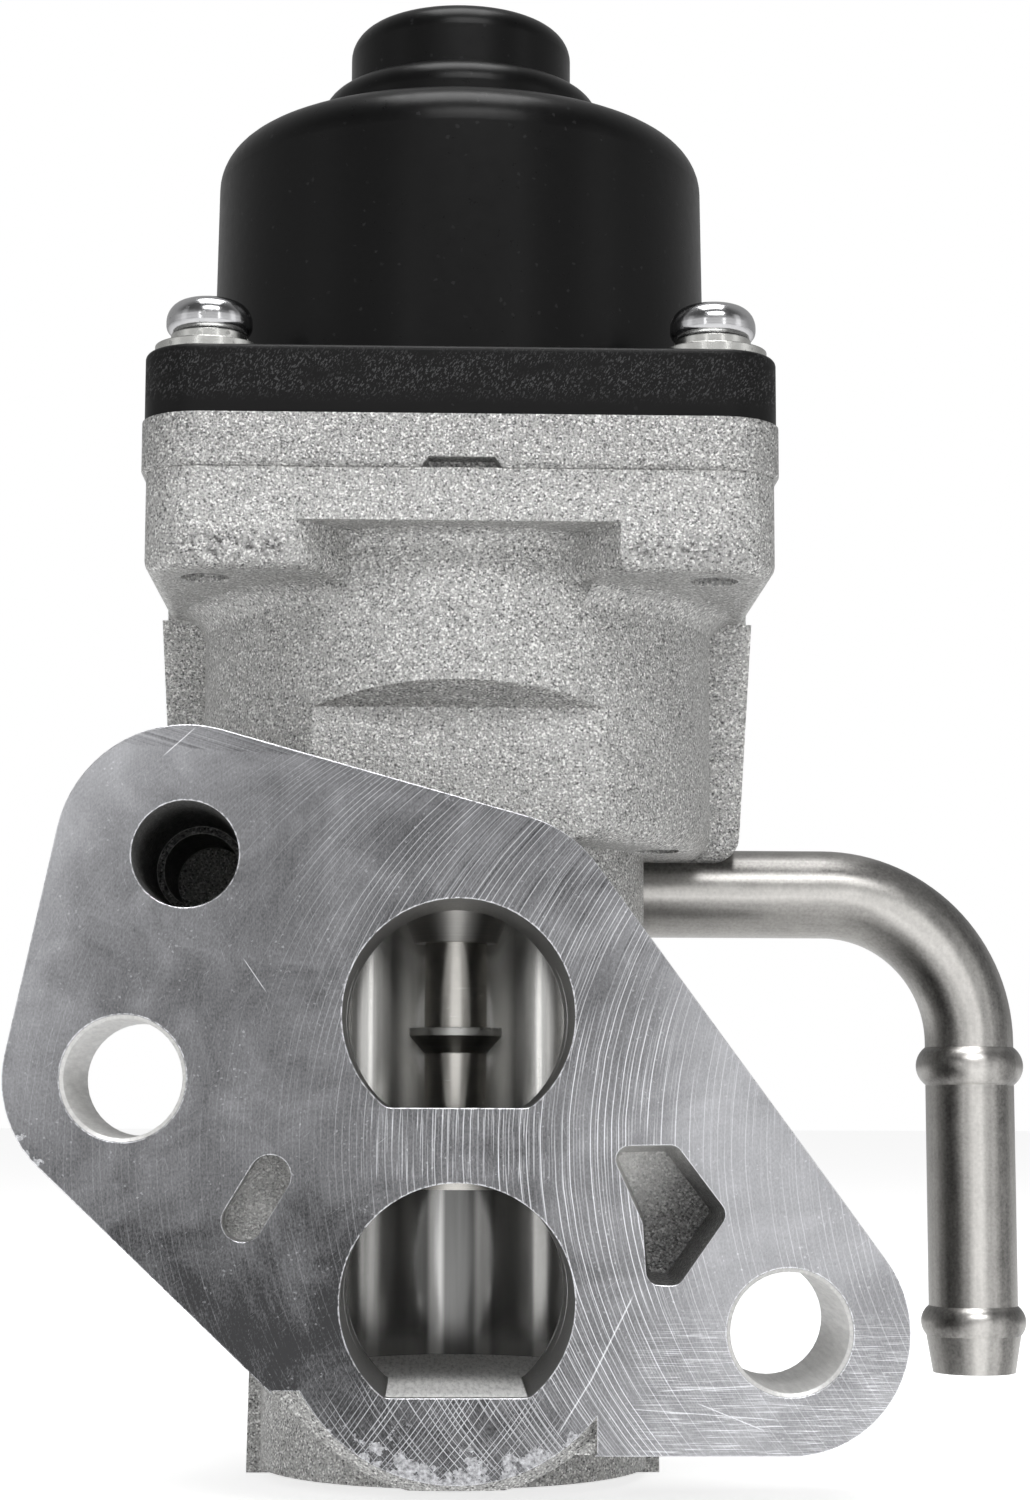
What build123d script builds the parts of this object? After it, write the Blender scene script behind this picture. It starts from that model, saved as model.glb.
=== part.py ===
"""EGR valve: a water-cooled aluminium valve body, driven by a stepping motor on top.

Millimetres, +Z up.  The flange face is the plane Y = 0 and faces -Y; the valve axis is
vertical through X = 0; the origin is the middle of the web between the two gas ports.
"""
from build123d import *
import os
from math import cos, pi, radians, sin

# ---------------------------------------------------------------- driving dimensions
# Fits
RUNNING = 0.05            # radial running clearance of everything that turns or slides
TOUCH_GAP = 0.05          # gap where one moving piece pushes another
LOCATING = 0.1            # radial clearance of a spigot in its register
END_GAP = 0.2             # clearance in height between pieces that mustn't touch
BREAK_EDGE = 0.3          # broken edge of turned pieces

# Valve axis
AXIS_Y = 26.7             # valve axis behind the flange face

# Flange plate (discs in the flange plane, joined by their common tangents)
FLANGE_THICKNESS = 12.0
BOSS_DEPTH = 16.5         # bolt bosses, from the flange face
COOLANT_LOBE = (-21.9, 23.0)
COOLANT_LOBE_R = 10.4
LEFT_BOLT = (-26.5, 5.2)
RIGHT_BOLT = (26.2, -14.5)
BOLT_LOBE_R = 9.5
BOLT_HOLE_R = 4.7
BOLT_HOLE_CHAMFER = 0.35
UPPER_LOBE_R = 16.0       # flange edge round the upper port
SHOULDER = (2.9, 16.5)    # smaller disc that lifts the flange's sloping upper edge
SHOULDER_R = 10.0
LOWER_LOBE_R = 15.0       # flange edge round the lower port
LOWER_LOBE_BOTTOM = -26.7
RIGHT_LOBE_BOTTOM = -24.0  # straight lower edge of the right lobe
CAST_EDGE = 1.0           # rounding left as cast along the lower edge of the face
CAST_EDGE_TOP = -19.0
CAST_EDGE_RIGHT = 11.0

# Gas ports and chamber
PORT_R = 9.27
PORT_FLAT = 7.36          # flat below the port's centre
PORT_CORNER_R = 1.2
UPPER_PORT_Z = 10.3
LOWER_PORT_Z = -12.2
UPPER_BORE_R = 12.0
LOWER_BORE_R = 11.5

# Pockets beside the lower port
SLOT_ENDS = [(-14.8, -2.4), (-16.9, -5.9)]
SLOT_R = 1.65
SLOT_DEPTH = 3.5
POCKET_CORNERS = [(11.9, 0.0), (17.3, 0.1), (21.4, -5.3), (17.4, -10.9), (14.9, -10.8), (14.6, -6.0)]
POCKET_CORNER_R = 1.1
POCKET_DEPTH = 7.0
POCKET_DRAFT = 5.0         # degrees

# Lower and upper column of the casting: the rear die half is the wider one
LOWER_FRONT_R = 16.8
LOWER_FRONT_BOTTOM = -27.8
LOWER_REAR_R = 18.0
LOWER_REAR_DROP = 0.8     # rear half below the front half
LOWER_DRAFT = 0.8         # degrees, narrower upwards
NECK_FOOT = 14.0          # where the lower column steps in to the neck
NECK_COLUMN_R = 16.7
UPPER_COLUMN_R = 22.6
UPPER_COLUMN_HEIGHT = 21.4
UPPER_REAR_OVERHANG = 0.5  # beyond the head
UPPER_REAR_CORNER_R = 9.0
UPPER_REAR_DRAFT = 3.3    # degrees
UPPER_COLUMN_EDGE_R = 2.2
FRONT_FLAT_Y = 7.7        # flat on the front of the upper column
FRONT_FLAT_HEIGHT = 11.0  # from the foot of the upper column
FRONT_FLAT_RISE = 1.9     # height of the slope that runs the flat out
CORE_PIN_HOLE = (17.3, -8.2)  # from the valve axis
CORE_PIN_HOLE_R = 1.9
CORE_PIN_HOLE_DEPTH = 6.0

# Square head of the casting, spacer plate and motor flange
HEAD_TOP = 54.8
HEAD_HALF = 26.1
HEAD_CORNER_R = 4.7
HEAD_HEIGHT = 8.4
NOTCH_HEIGHT = 4.0        # notch under the head between the two front bosses
NOTCH_FRONT_HALF = 13.0
NOTCH_BACK_HALF = 9.2
NOTCH_OVERLAP = 2.0       # how far the notch runs into the column
NOTCH_CORNER_R = 3.0
HEAD_EDGE_R = 1.2
HEAD_BLEND_R = 2.4        # fillet between the head's underside and the column
NOTCH_BLEND_R = 1.6
BLEND_ROOT = 0.05         # how far the blends run into the faces they join
SPACER_OVERHANG = 0.4     # beyond the head, all round
SPACER_CORNER_R = 5.1
SPACER_THICKNESS = 4.4
SPACER_CHAMFER = 0.3
SPIGOT_DEPTH = 2.0
PRY_SLOT_BASE = 6.6       # notch in the joint with the head, for prying the motor off
PRY_SLOT_TOP = 5.4
PRY_SLOT_HEIGHT = 0.8
PRY_SLOT_DEPTH = 2.0

# Motor housing
MOTOR_FLANGE_OVERHANG = 0.2
MOTOR_FLANGE_CORNER_R = 4.8
MOTOR_FLANGE_THICKNESS = 5.8
FLANGE_EDGE_R = 0.5
DOME_INSET = 3.7          # dome wall inside the head's sides
DOME_HEIGHT = 25.3        # above the motor flange
DOME_LEAN = 0.4           # wall closer to the axis at the shoulder than at the foot
DOME_SHOULDER_R = 4.0
DOME_CROWN = 0.5          # rise of the roof from the shoulder to the collar
COLLAR_R = 12.8
COLLAR_HEIGHT = 4.9
COLLAR_EDGE_R = 2.4
KNOB_R = 10.1
KNOB_HEIGHT = 6.1
KNOB_EDGE_R = 2.4
KNOB_ROOF = 3.5           # plastic over the hollow that the shaft retracts into
MOTOR_WALL = 2.4          # dome wall round the stator
SEAL_OUTSIDE_DOME = 0.6   # mean radius of the seal beyond the dome
SEAL_WIDTH = 1.9
SEAL_HEIGHT = 1.4
SEAL_SIDE_GAP = 0.1
SEAL_CORNER_R = 0.6

# Electrical connector, on the hidden side of the dome
SOCKET_RISE = 8.5         # centre above the motor flange
SOCKET_WIDTH = 23.0
SOCKET_HEIGHT = 13.0
SOCKET_CORNER_R = 4.0
SOCKET_WALL = 1.6
SOCKET_LENGTH = 15.0      # from the dome's furthest point
SOCKET_FLOOR = 2.5        # inside floor, from the dome's furthest point
PIN_PITCH = 4.4
PIN_ROW_PITCH = 4.6
PIN_COLUMNS = 3
PIN_ROWS = 2
PIN_SIZE = 0.8
PIN_OUT = 8.5             # free length of a pin in the socket
PIN_IN = 1.2              # length buried in the housing

# Screws
SCREW_EDGE = 5.0          # screw centres in from the sides of the head
SCREW_R = 2.0
SCREW_HOLE_GAP = 0.25     # radial, in the plates
SCREW_GRIP = 6.4          # thread in the head
SCREW_HEAD_R = 3.6
SCREW_HEAD_HEIGHT = 3.0
SCREW_HEAD_ROUND = 1.8     # over the top
SCREW_HEAD_FOOT_R = 0.9    # round the bearing face
CROSS_WIDTH = 1.0
CROSS_LENGTH = 3.8
CROSS_DEPTH = 1.5
FLAT_WASHER_R = 4.5
FLAT_WASHER_THICKNESS = 0.8
SPRING_WASHER_THICKNESS = 1.0
SPRING_WASHER_R = 3.2
SPRING_WASHER_SLIT = 0.5
WASHER_GAP = 0.15         # radial, round the screw

# Coolant circuit
COOLANT_PORT_R = 4.3
COOLANT_PORT_DEPTH = 17.0
COOLANT_PORT_DRAFT = 1.5  # degrees: the port is left as cast
COOLANT_DRILL_R = 3.2     # smaller drilling behind the port
COOLANT_DRILL_END = 31.0
COOLANT_BOSS_R = 7.0
COOLANT_BOSS_END = 36.0
JACKET_WALL = 1.4         # metal between the jacket and the valve bore or the cavity
JACKET_GAP = 1.2
PIPE_R = 4.0
PIPE_WALL = 0.9
PIPE_BEHIND_AXIS = 6.3
PIPE_Z = 22.4
PIPE_ROOT = 0.3           # inner end of the pipe, outside the jacket
PIPE_DROP_X = 47.0        # centre line of the hanging leg
PIPE_BEND_R = 13.4
BEAD_R = 4.85
BEAD_BELOW_BEND = 2.2
BEAD_HALF = 1.7
PIPE_BELOW_BEAD = 27.4
END_BEAD_R = 4.7
END_BEAD_RISE = 5.9       # top of the bead above the pipe's end
END_BEAD_HALF = 1.3
END_BEAD_FOOT = 0.25      # bead's foot, outside the pipe's radius
END_TIP_R = 3.7

# Valve train
STEM_R = 2.75
STEM_BELOW_SPACER = 3.3   # top of the stem below the spacer's spigot
SEAT_ABOVE_PORT = 0.53    # seat's ledge above the top of the lower port
SEAT_HEIGHT = 4.0
SEAT_BORE_R = 7.4
SEAT_CHAMFER = 1.0
HEAD_R = 8.1
HEAD_RIM = 1.6
HEAD_BACK_CONE = 1.6      # height of the cone from the seat line up the stem
HEAD_NECK = 1.0           # top of the cone outside the stem
HEAD_LAND = 1.2           # flat rim under the head
HEAD_DISH = 1.1           # depth of the hollow under the head
HEAD_DISH_R = 4.2         # flat bottom of the hollow
SHIELD_R = 4.1
SHIELD_BELOW_PORT = 0.4   # top of the shield below the upper port's centre
SHIELD_RIM = 0.7
SHIELD_CONE = 1.5
NECK_DEPTH = 0.55         # the stem necks down under the shield and the head
GUIDE_R = 4.9
GUIDE_NOSE_R = 3.65
GUIDE_NOSE_HEIGHT = 2.6
GUIDE_BELOW_CARRIER = 3.0
GUIDE_TOP_RISE = 5.0      # top of the bush above the cavity floor
CARRIER_ABOVE_PORT = 0.83
CARRIER_FLANGE = 2.0
CARRIER_FLANGE_GAP = 1.0
CAVITY_R = 16.0
CAVITY_DEPTH = 23.8
SEAL_RING_HEIGHT = 2.4
SEAL_RING_R = 4.6
SEAL_RING_CHAMFER = 0.8
RETAINER_BELOW_TOP = 2.5  # spring's bearing face below the top of the stem
RETAINER_LAND = 1.4       # flat outside the spring
RETAINER_THICKNESS = 1.4
RETAINER_LIP = 1.6
CLIP_THICKNESS = 0.6
CLIP_R = 4.2
CLIP_GROOVE = 0.5
CLIP_SLOT_HALF = 1.4
SPRING_WIRE_R = 0.9
SPRING_MEAN_R = 9.8
SPRING_TURNS = 4.5

# Motor shaft (its thread is drawn at mean diameter) and its guide
SHAFT_R = 2.9
SHAFT_CHAMFER = 0.4
SHAFT_ABOVE_BUSH = 2.3
SHAFT_ROOM = 1.0          # radial, in the hollow of the knob
SHAFT_FLAT_HALF = 2.2     # the lower end has two flats so that it can't turn
SHAFT_FLAT_BELOW_NUT = 2.5
SHAFT_GUIDE_R = 6.0
SHAFT_GUIDE_DROP = 2.2    # guide below the spigot
SHAFT_GUIDE_FLANGE_R = 7.2
SHAFT_GUIDE_FLANGE = 1.0

# Ball bearing under the rotor
BEARING_BORE_R = 5.0
BEARING_R = 9.5
BEARING_WIDTH = 5.0
BEARING_RISE = 0.6        # above the spacer's underside
BALL_R = 1.5
BALL_COUNT = 9
RACE_LAND = 0.8           # half the gap between the two races
CAGE_HALF = 0.5
CAGE_DROP = 1.0
CAGE_RISE = 2.2
BEARING_COLLAR_WALL = 2.1  # collar of the spacer plate round the bearing

# Rotor
MAGNET_LENGTH = 19.6
MAGNET_R = 10.4
HUB_R = 7.4
HUB_FLANGE_GAP = 0.4
HUB_FLANGE = 1.2
HUB_FLANGE_INSET = 1.0
HUB_SHOULDER = 1.0        # shoulder that sits on the bearing
HUB_BORE_GAP = 0.5        # radial, round the shaft
NUT_R = 5.0
NUT_INSET = 4.0           # nut above the magnet's foot
NUT_LENGTH = 14.0
JOURNAL_R = 4.4
JOURNAL_RISE = 4.6        # journal above the stator stack
BUSH_R = 6.6
BUSH_HEADROOM = 0.6

# Claw-pole stator: two equal halves, stacked
STACK_RISE = 1.4          # foot of the stack above the spacer
STACK_HALF = 11.2
AIR_GAP = 0.35
CUP_THICKNESS = 1.0
CLAWS = 6
CLAW_ROOT_ANGLE = 25.0    # degrees of arc
CLAW_TIP_ANGLE = 11.0
CLAW_END_GAP = 1.4
BOBBIN_WALL = 0.8
BOBBIN_GAP = 0.2
COIL_INSET = 0.4

# ---------------------------------------------------------------- values that follow
UPPER_REAR_HALF = HEAD_HALF + UPPER_REAR_OVERHANG
SPACER_HALF = HEAD_HALF + SPACER_OVERHANG
MOTOR_FLANGE_HALF = HEAD_HALF + MOTOR_FLANGE_OVERHANG
HALF_SCREWS = HEAD_HALF - SCREW_EDGE
DOME_R = HEAD_HALF - DOME_INSET
SCREW_HOLE_R = SCREW_R + SCREW_HOLE_GAP
WASHER_HOLE_R = SCREW_R + WASHER_GAP

HEAD_BOTTOM = HEAD_TOP - HEAD_HEIGHT
UPPER_COLUMN_BOTTOM = HEAD_BOTTOM - UPPER_COLUMN_HEIGHT
SPACER_TOP = HEAD_TOP + SPACER_THICKNESS
SPIGOT_BOTTOM = HEAD_TOP - SPIGOT_DEPTH
SPIGOT_R = CAVITY_R - LOCATING
MOTOR_FLANGE_TOP = SPACER_TOP + MOTOR_FLANGE_THICKNESS
DOME_TOP = MOTOR_FLANGE_TOP + DOME_HEIGHT
COLLAR_TOP = DOME_TOP + COLLAR_HEIGHT
KNOB_TOP = COLLAR_TOP + KNOB_HEIGHT
WASHER_TOP = MOTOR_FLANGE_TOP + FLAT_WASHER_THICKNESS
SCREW_SEAT = WASHER_TOP + SPRING_WASHER_THICKNESS
SCREW_END = HEAD_TOP - SCREW_GRIP
SOCKET_Z = MOTOR_FLANGE_TOP + SOCKET_RISE
SOCKET_FLOOR_Y = AXIS_Y + DOME_R + SOCKET_FLOOR
SOCKET_END_Y = AXIS_Y + DOME_R + SOCKET_LENGTH
SEAL_GROOVE_R = DOME_R + SEAL_OUTSIDE_DOME

PORT_FLOOR = LOWER_PORT_Z - PORT_FLAT
SEAT_LEDGE_Z = LOWER_PORT_Z + PORT_R + SEAT_ABOVE_PORT
CARRIER_BOTTOM = UPPER_PORT_Z + PORT_R + CARRIER_ABOVE_PORT
CAVITY_FLOOR = HEAD_TOP - CAVITY_DEPTH
CARRIER_TOP = CAVITY_FLOOR + CARRIER_FLANGE
GUIDE_BOTTOM = CARRIER_BOTTOM - GUIDE_BELOW_CARRIER
GUIDE_TOP = CAVITY_FLOOR + GUIDE_TOP_RISE
GUIDE_BORE_R = STEM_R + RUNNING
NECK_R = STEM_R - NECK_DEPTH
STEM_TOP = SPIGOT_BOTTOM - STEM_BELOW_SPACER
RETAINER_Z = STEM_TOP - RETAINER_BELOW_TOP
RETAINER_TOP = RETAINER_Z + RETAINER_THICKNESS
RETAINER_LIP_R = SPRING_MEAN_R + RETAINER_LAND
POPPET_TOP = SEAT_LEDGE_Z - RUNNING
POPPET_BOTTOM = POPPET_TOP - HEAD_RIM
SHIELD_TOP = UPPER_PORT_Z - SHIELD_BELOW_PORT
SHIELD_BOTTOM = SHIELD_TOP - SHIELD_RIM - SHIELD_CONE

JACKET_IN_R = UPPER_BORE_R + JACKET_WALL
JACKET_OUT_R = JACKET_IN_R + JACKET_GAP
PIPE_BORE_R = PIPE_R - PIPE_WALL
PIPE_Y = AXIS_Y + PIPE_BEHIND_AXIS
BEAD_Z = PIPE_Z - PIPE_BEND_R - BEAD_BELOW_BEND
PIPE_END_Z = BEAD_Z - PIPE_BELOW_BEAD
END_BEAD_TOP = PIPE_END_Z + END_BEAD_RISE

BEARING_BOTTOM = HEAD_TOP + BEARING_RISE
BEARING_MID = BEARING_BOTTOM + BEARING_WIDTH / 2
BEARING_TOP = BEARING_BOTTOM + BEARING_WIDTH
BALL_PITCH_R = (BEARING_BORE_R + BEARING_R) / 2
STATOR_R = DOME_R - MOTOR_WALL
STACK_BOTTOM = SPACER_TOP + STACK_RISE
STACK_TOP = STACK_BOTTOM + 2 * STACK_HALF
POLE_R = MAGNET_R + AIR_GAP
CUP_IN_R = STATOR_R - CUP_THICKNESS
HUB_FLANGE_BOTTOM = BEARING_TOP + HUB_FLANGE_GAP
MAGNET_BOTTOM = HUB_FLANGE_BOTTOM + HUB_FLANGE
MAGNET_TOP = MAGNET_BOTTOM + MAGNET_LENGTH
NUT_BOTTOM = MAGNET_BOTTOM + NUT_INSET
NUT_TOP = NUT_BOTTOM + NUT_LENGTH
HUB_BORE_R = SHAFT_R + HUB_BORE_GAP
JOURNAL_TOP = STACK_TOP + JOURNAL_RISE
BUSH_TOP = JOURNAL_TOP + BUSH_HEADROOM
SHAFT_TIP = STEM_TOP + TOUCH_GAP
SHAFT_TOP = BUSH_TOP + SHAFT_ABOVE_BUSH
SHAFT_FLAT_TOP = NUT_BOTTOM - SHAFT_FLAT_BELOW_NUT
SHAFT_GUIDE_BOTTOM = SPIGOT_BOTTOM - SHAFT_GUIDE_DROP
ROOF_BORE_TOP = KNOB_TOP - KNOB_ROOF

FAR = 200.0               # longer than anything here, for cutting tools
OVERCUT = 1.0             # how far a cutting tool runs out of the metal

VALVE_AXIS = Axis((0, AXIS_Y, 0), (0, 0, 1))
ON_FLOOR = (Align.CENTER, Align.CENTER, Align.MIN)


# ---------------------------------------------------------------- helpers
def save(name, shape):
    """Write one node."""
    os.makedirs("parts", exist_ok=True)
    export_step(shape, f"parts/{name}.step")


def along_y(sketch, front, back):
    """Extrude a sketch drawn in (X, Z) from Y = front to Y = back."""
    return extrude(Plane.XZ.offset(-back) * sketch, amount=back - front)


def across_x(sketch, left, right):
    """Extrude a sketch drawn in (Y, Z) from X = left to X = right."""
    return extrude(Plane.YZ.offset(left) * sketch, amount=right - left)


def upright(sketch, bottom, top):
    """Extrude a sketch drawn in (X, Y) about the valve axis from one height to another."""
    return extrude(Pos(0, AXIS_Y, bottom) * sketch, amount=top - bottom)


def disc_y(centre, radius, front, back):
    """A cylinder along Y, its centre given in (X, Z)."""
    return along_y(Pos(*centre) * Circle(radius), front, back)


def rod(radius, bottom, top, at=(0, 0)):
    """A vertical cylinder; `at` is measured from the valve axis."""
    return Pos(at[0], AXIS_Y + at[1], bottom) * Cylinder(radius, top - bottom, align=ON_FLOOR)


def ring(inner, outer, bottom, top):
    """A tube round the valve axis."""
    return rod(outer, bottom, top) - rod(inner, bottom, top)


def turned(profile):
    """Revolve a closed (radius, z) outline round the valve axis."""
    face = make_face(Plane.XZ.offset(-AXIS_Y) * Polyline(*profile, close=True))
    return revolve(face, axis=VALVE_AXIS)


def screw_places():
    """The four motor screws, measured from the valve axis."""
    return [(i * HALF_SCREWS, j * HALF_SCREWS) for i in (-1, 1) for j in (-1, 1)]


def polar(count, start=0.0):
    """Rotations round the valve axis."""
    step = 360.0 / count
    return [Pos(0, AXIS_Y, 0) * Rot(0, 0, start + i * step) * Pos(0, -AXIS_Y, 0) for i in range(count)]


def bearing_groove():
    """The torus swept by the balls, with running clearance."""
    centre = Pos(BALL_PITCH_R, 0, BEARING_MID) * (Plane.XZ * Circle(BALL_R + RUNNING))
    return revolve(Pos(0, AXIS_Y, 0) * centre, axis=VALVE_AXIS)


# ---------------------------------------------------------------- valve body
def port_outline(centre_z):
    """D-shaped gas port in the flange plane: a circle with a flat below."""
    circle = Pos(0, centre_z) * Circle(PORT_R)
    below = Pos(0, centre_z - PORT_FLAT) * Rectangle(
        2 * PORT_R, 2 * PORT_R, align=(Align.CENTER, Align.MAX))
    outline = circle - below
    corners = outline.vertices().sort_by(Axis.Y)[:2]
    return fillet(corners, PORT_CORNER_R)


def flange_outline():
    """Tangent outline of the lobes, cut straight at the bottom and under the right bolt lobe."""
    lobes = [
        (COOLANT_LOBE, COOLANT_LOBE_R),
        (LEFT_BOLT, BOLT_LOBE_R),
        ((0, LOWER_PORT_Z), LOWER_LOBE_R),
        (RIGHT_BOLT, BOLT_LOBE_R),
        ((0, UPPER_PORT_Z), UPPER_LOBE_R),
        (SHOULDER, SHOULDER_R),
    ]
    discs = Sketch() + [Pos(*centre) * Circle(radius) for centre, radius in lobes]
    hull = make_hull(discs.edges())
    below_right = Pos(0, RIGHT_LOBE_BOTTOM) * Rectangle(FAR, FAR, align=(Align.MIN, Align.MAX))
    outline = hull - below_right + Pos(0, LOWER_PORT_Z) * Circle(LOWER_LOBE_R)
    return outline - Pos(0, LOWER_LOBE_BOTTOM) * Rectangle(FAR, FAR, align=(Align.CENTER, Align.MAX))


def cast_edge():
    """Sloping band along the lower edge of the flange that the face cutter misses."""
    round_lobe = Cylinder(LOWER_LOBE_R + OVERCUT, CAST_EDGE, align=ON_FLOOR)
    kept = Cone(LOWER_LOBE_R - CAST_EDGE, LOWER_LOBE_R, CAST_EDGE, align=ON_FLOOR)
    band = Pos(0, 0, LOWER_PORT_Z) * Rot(-90, 0, 0) * (round_lobe - kept)
    low_left = Pos(CAST_EDGE_RIGHT, CAST_EDGE_TOP) * Rectangle(FAR, FAR, align=(Align.MAX, Align.MAX))
    return band & along_y(low_left, -OVERCUT, CAST_EDGE)


def half_plan(plan, rear):
    """The part of a plan shape behind (or in front of) the valve axis."""
    side = Align.MIN if rear else Align.MAX
    return plan & Rectangle(FAR, FAR, align=(Align.CENTER, side))


def casting_columns():
    """Lower column, upper column and the wider rear die half."""
    lower = upright(Circle(NECK_COLUMN_R), NECK_FOOT - OVERCUT, UPPER_COLUMN_BOTTOM + OVERCUT)
    for radius, bottom, rear in (
            (LOWER_FRONT_R, LOWER_FRONT_BOTTOM, False),
            (LOWER_REAR_R, LOWER_FRONT_BOTTOM - LOWER_REAR_DROP, True)):
        foot = Pos(0, AXIS_Y, bottom) * Circle(radius)
        cone = extrude(foot, amount=NECK_FOOT - bottom, taper=LOWER_DRAFT)
        lower += cone & upright(half_plan(Circle(FAR), rear), bottom, NECK_FOOT)

    front = upright(Circle(UPPER_COLUMN_R), UPPER_COLUMN_BOTTOM, HEAD_BOTTOM)
    square = RectangleRounded(2 * UPPER_REAR_HALF, 2 * UPPER_REAR_HALF, UPPER_REAR_CORNER_R)
    rear = extrude(Pos(0, AXIS_Y, HEAD_BOTTOM) * half_plan(square, True),
                   amount=-UPPER_COLUMN_HEIGHT, taper=UPPER_REAR_DRAFT)
    upper = front + rear
    upper = fillet(upper.faces().sort_by(Axis.Z)[0].edges(), UPPER_COLUMN_EDGE_R)

    foot = UPPER_COLUMN_BOTTOM - OVERCUT
    flat_top = UPPER_COLUMN_BOTTOM + FRONT_FLAT_HEIGHT
    column_front = AXIS_Y - UPPER_COLUMN_R
    cut = make_face(Polyline(
        (-FAR, foot), (FRONT_FLAT_Y, foot), (FRONT_FLAT_Y, flat_top),
        (column_front, flat_top + FRONT_FLAT_RISE), (-FAR, flat_top + FRONT_FLAT_RISE), close=True))
    return lower + (upper - across_x(cut, -FAR, FAR))


def blend_ring(radius, top, size):
    """Concave fillet between the upper column and a flat face above it, all the way round."""
    bow = size * (1 - 0.5 ** 0.5)
    start, end = (radius + size, top + BLEND_ROOT), (radius - BLEND_ROOT, top - size)
    inside = radius - OVERCUT
    profile = Curve() + [
        Polyline(end, (inside, top - size), (inside, top + OVERCUT), (radius + size, top + OVERCUT), start),
        ThreePointArc(start, (radius + bow, top - bow), end),
    ]
    face = make_face(Plane.XZ.offset(-AXIS_Y) * profile)
    return revolve(face, axis=VALVE_AXIS)


def casting_head():
    """Square head that the motor is screwed to, notched between its front bosses."""
    square = RectangleRounded(2 * HEAD_HALF, 2 * HEAD_HALF, HEAD_CORNER_R)
    reach = UPPER_COLUMN_R - NOTCH_OVERLAP
    notch_top = HEAD_BOTTOM + NOTCH_HEIGHT
    notch = make_face(Polyline(
        (-NOTCH_FRONT_HALF, -HEAD_HALF), (NOTCH_FRONT_HALF, -HEAD_HALF),
        (NOTCH_BACK_HALF, -reach), (-NOTCH_BACK_HALF, -reach), close=True))
    front_plan = half_plan(square, False)
    front = upright(front_plan, HEAD_BOTTOM, HEAD_TOP) - upright(notch, HEAD_BOTTOM, notch_top)
    face_y = AXIS_Y - HEAD_HALF
    corners = front.edges().filter_by(Axis.Z).filter_by_position(Axis.Y, face_y, face_y)
    front = fillet(corners.sort_by(Axis.X)[1:-1], NOTCH_CORNER_R)
    underside = front.edges().filter_by_position(Axis.Z, HEAD_BOTTOM, HEAD_BOTTOM)
    inner = [AXIS_Y, AXIS_Y - reach]
    outer_edges = [e for e in underside if all(abs(e.center().Y - y) > LOCATING for y in inner)]
    front = fillet(outer_edges, HEAD_EDGE_R)

    rear = upright(half_plan(square, True), HEAD_BOTTOM, HEAD_TOP)
    column = upright(Circle(UPPER_COLUMN_R), HEAD_BOTTOM - OVERCUT, notch_top + OVERCUT)
    clear_of_notch = front_plan - offset(notch, HEAD_EDGE_R + BLEND_ROOT)
    beside_notch = upright(clear_of_notch, HEAD_BOTTOM - FAR, HEAD_BOTTOM + OVERCUT)
    over_notch = upright(notch, notch_top - FAR, notch_top + OVERCUT)
    blends = blend_ring(UPPER_COLUMN_R, HEAD_BOTTOM, HEAD_BLEND_R) & beside_notch
    blends += blend_ring(UPPER_COLUMN_R, notch_top, NOTCH_BLEND_R) & over_notch
    return front + rear + column + blends


def coolant_passages():
    """Port, drillings, the jacket round the valve bore and the socket of the pipe."""
    port = disc_y(COOLANT_LOBE, COOLANT_PORT_R, -OVERCUT, 0)
    cored = Plane.XZ * Pos(*COOLANT_LOBE) * Circle(COOLANT_PORT_R)
    port += extrude(cored, amount=-COOLANT_PORT_DEPTH, taper=COOLANT_PORT_DRAFT)
    drill = disc_y(COOLANT_LOBE, COOLANT_DRILL_R, 0, COOLANT_DRILL_END)
    x, z = COOLANT_LOBE
    cross_section = Pos(COOLANT_DRILL_END - COOLANT_DRILL_R, z) * Circle(COOLANT_DRILL_R)
    cross = across_x(cross_section, x, -(JACKET_IN_R + JACKET_OUT_R) / 2)
    jacket = ring(JACKET_IN_R, JACKET_OUT_R, CARRIER_BOTTOM, CAVITY_FLOOR - JACKET_WALL)
    outlet = across_x(Pos(PIPE_Y, PIPE_Z) * Circle(PIPE_BORE_R), pipe_root() - JACKET_GAP, pipe_root())
    socket = across_x(Pos(PIPE_Y, PIPE_Z) * Circle(PIPE_R), pipe_root(), FAR)
    return port + drill + cross + jacket + outlet + socket


def pipe_root():
    """X of the pipe's inner end: just outside the jacket at the pipe's own Y."""
    return (JACKET_OUT_R ** 2 - PIPE_BEHIND_AXIS ** 2) ** 0.5 + PIPE_ROOT


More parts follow.
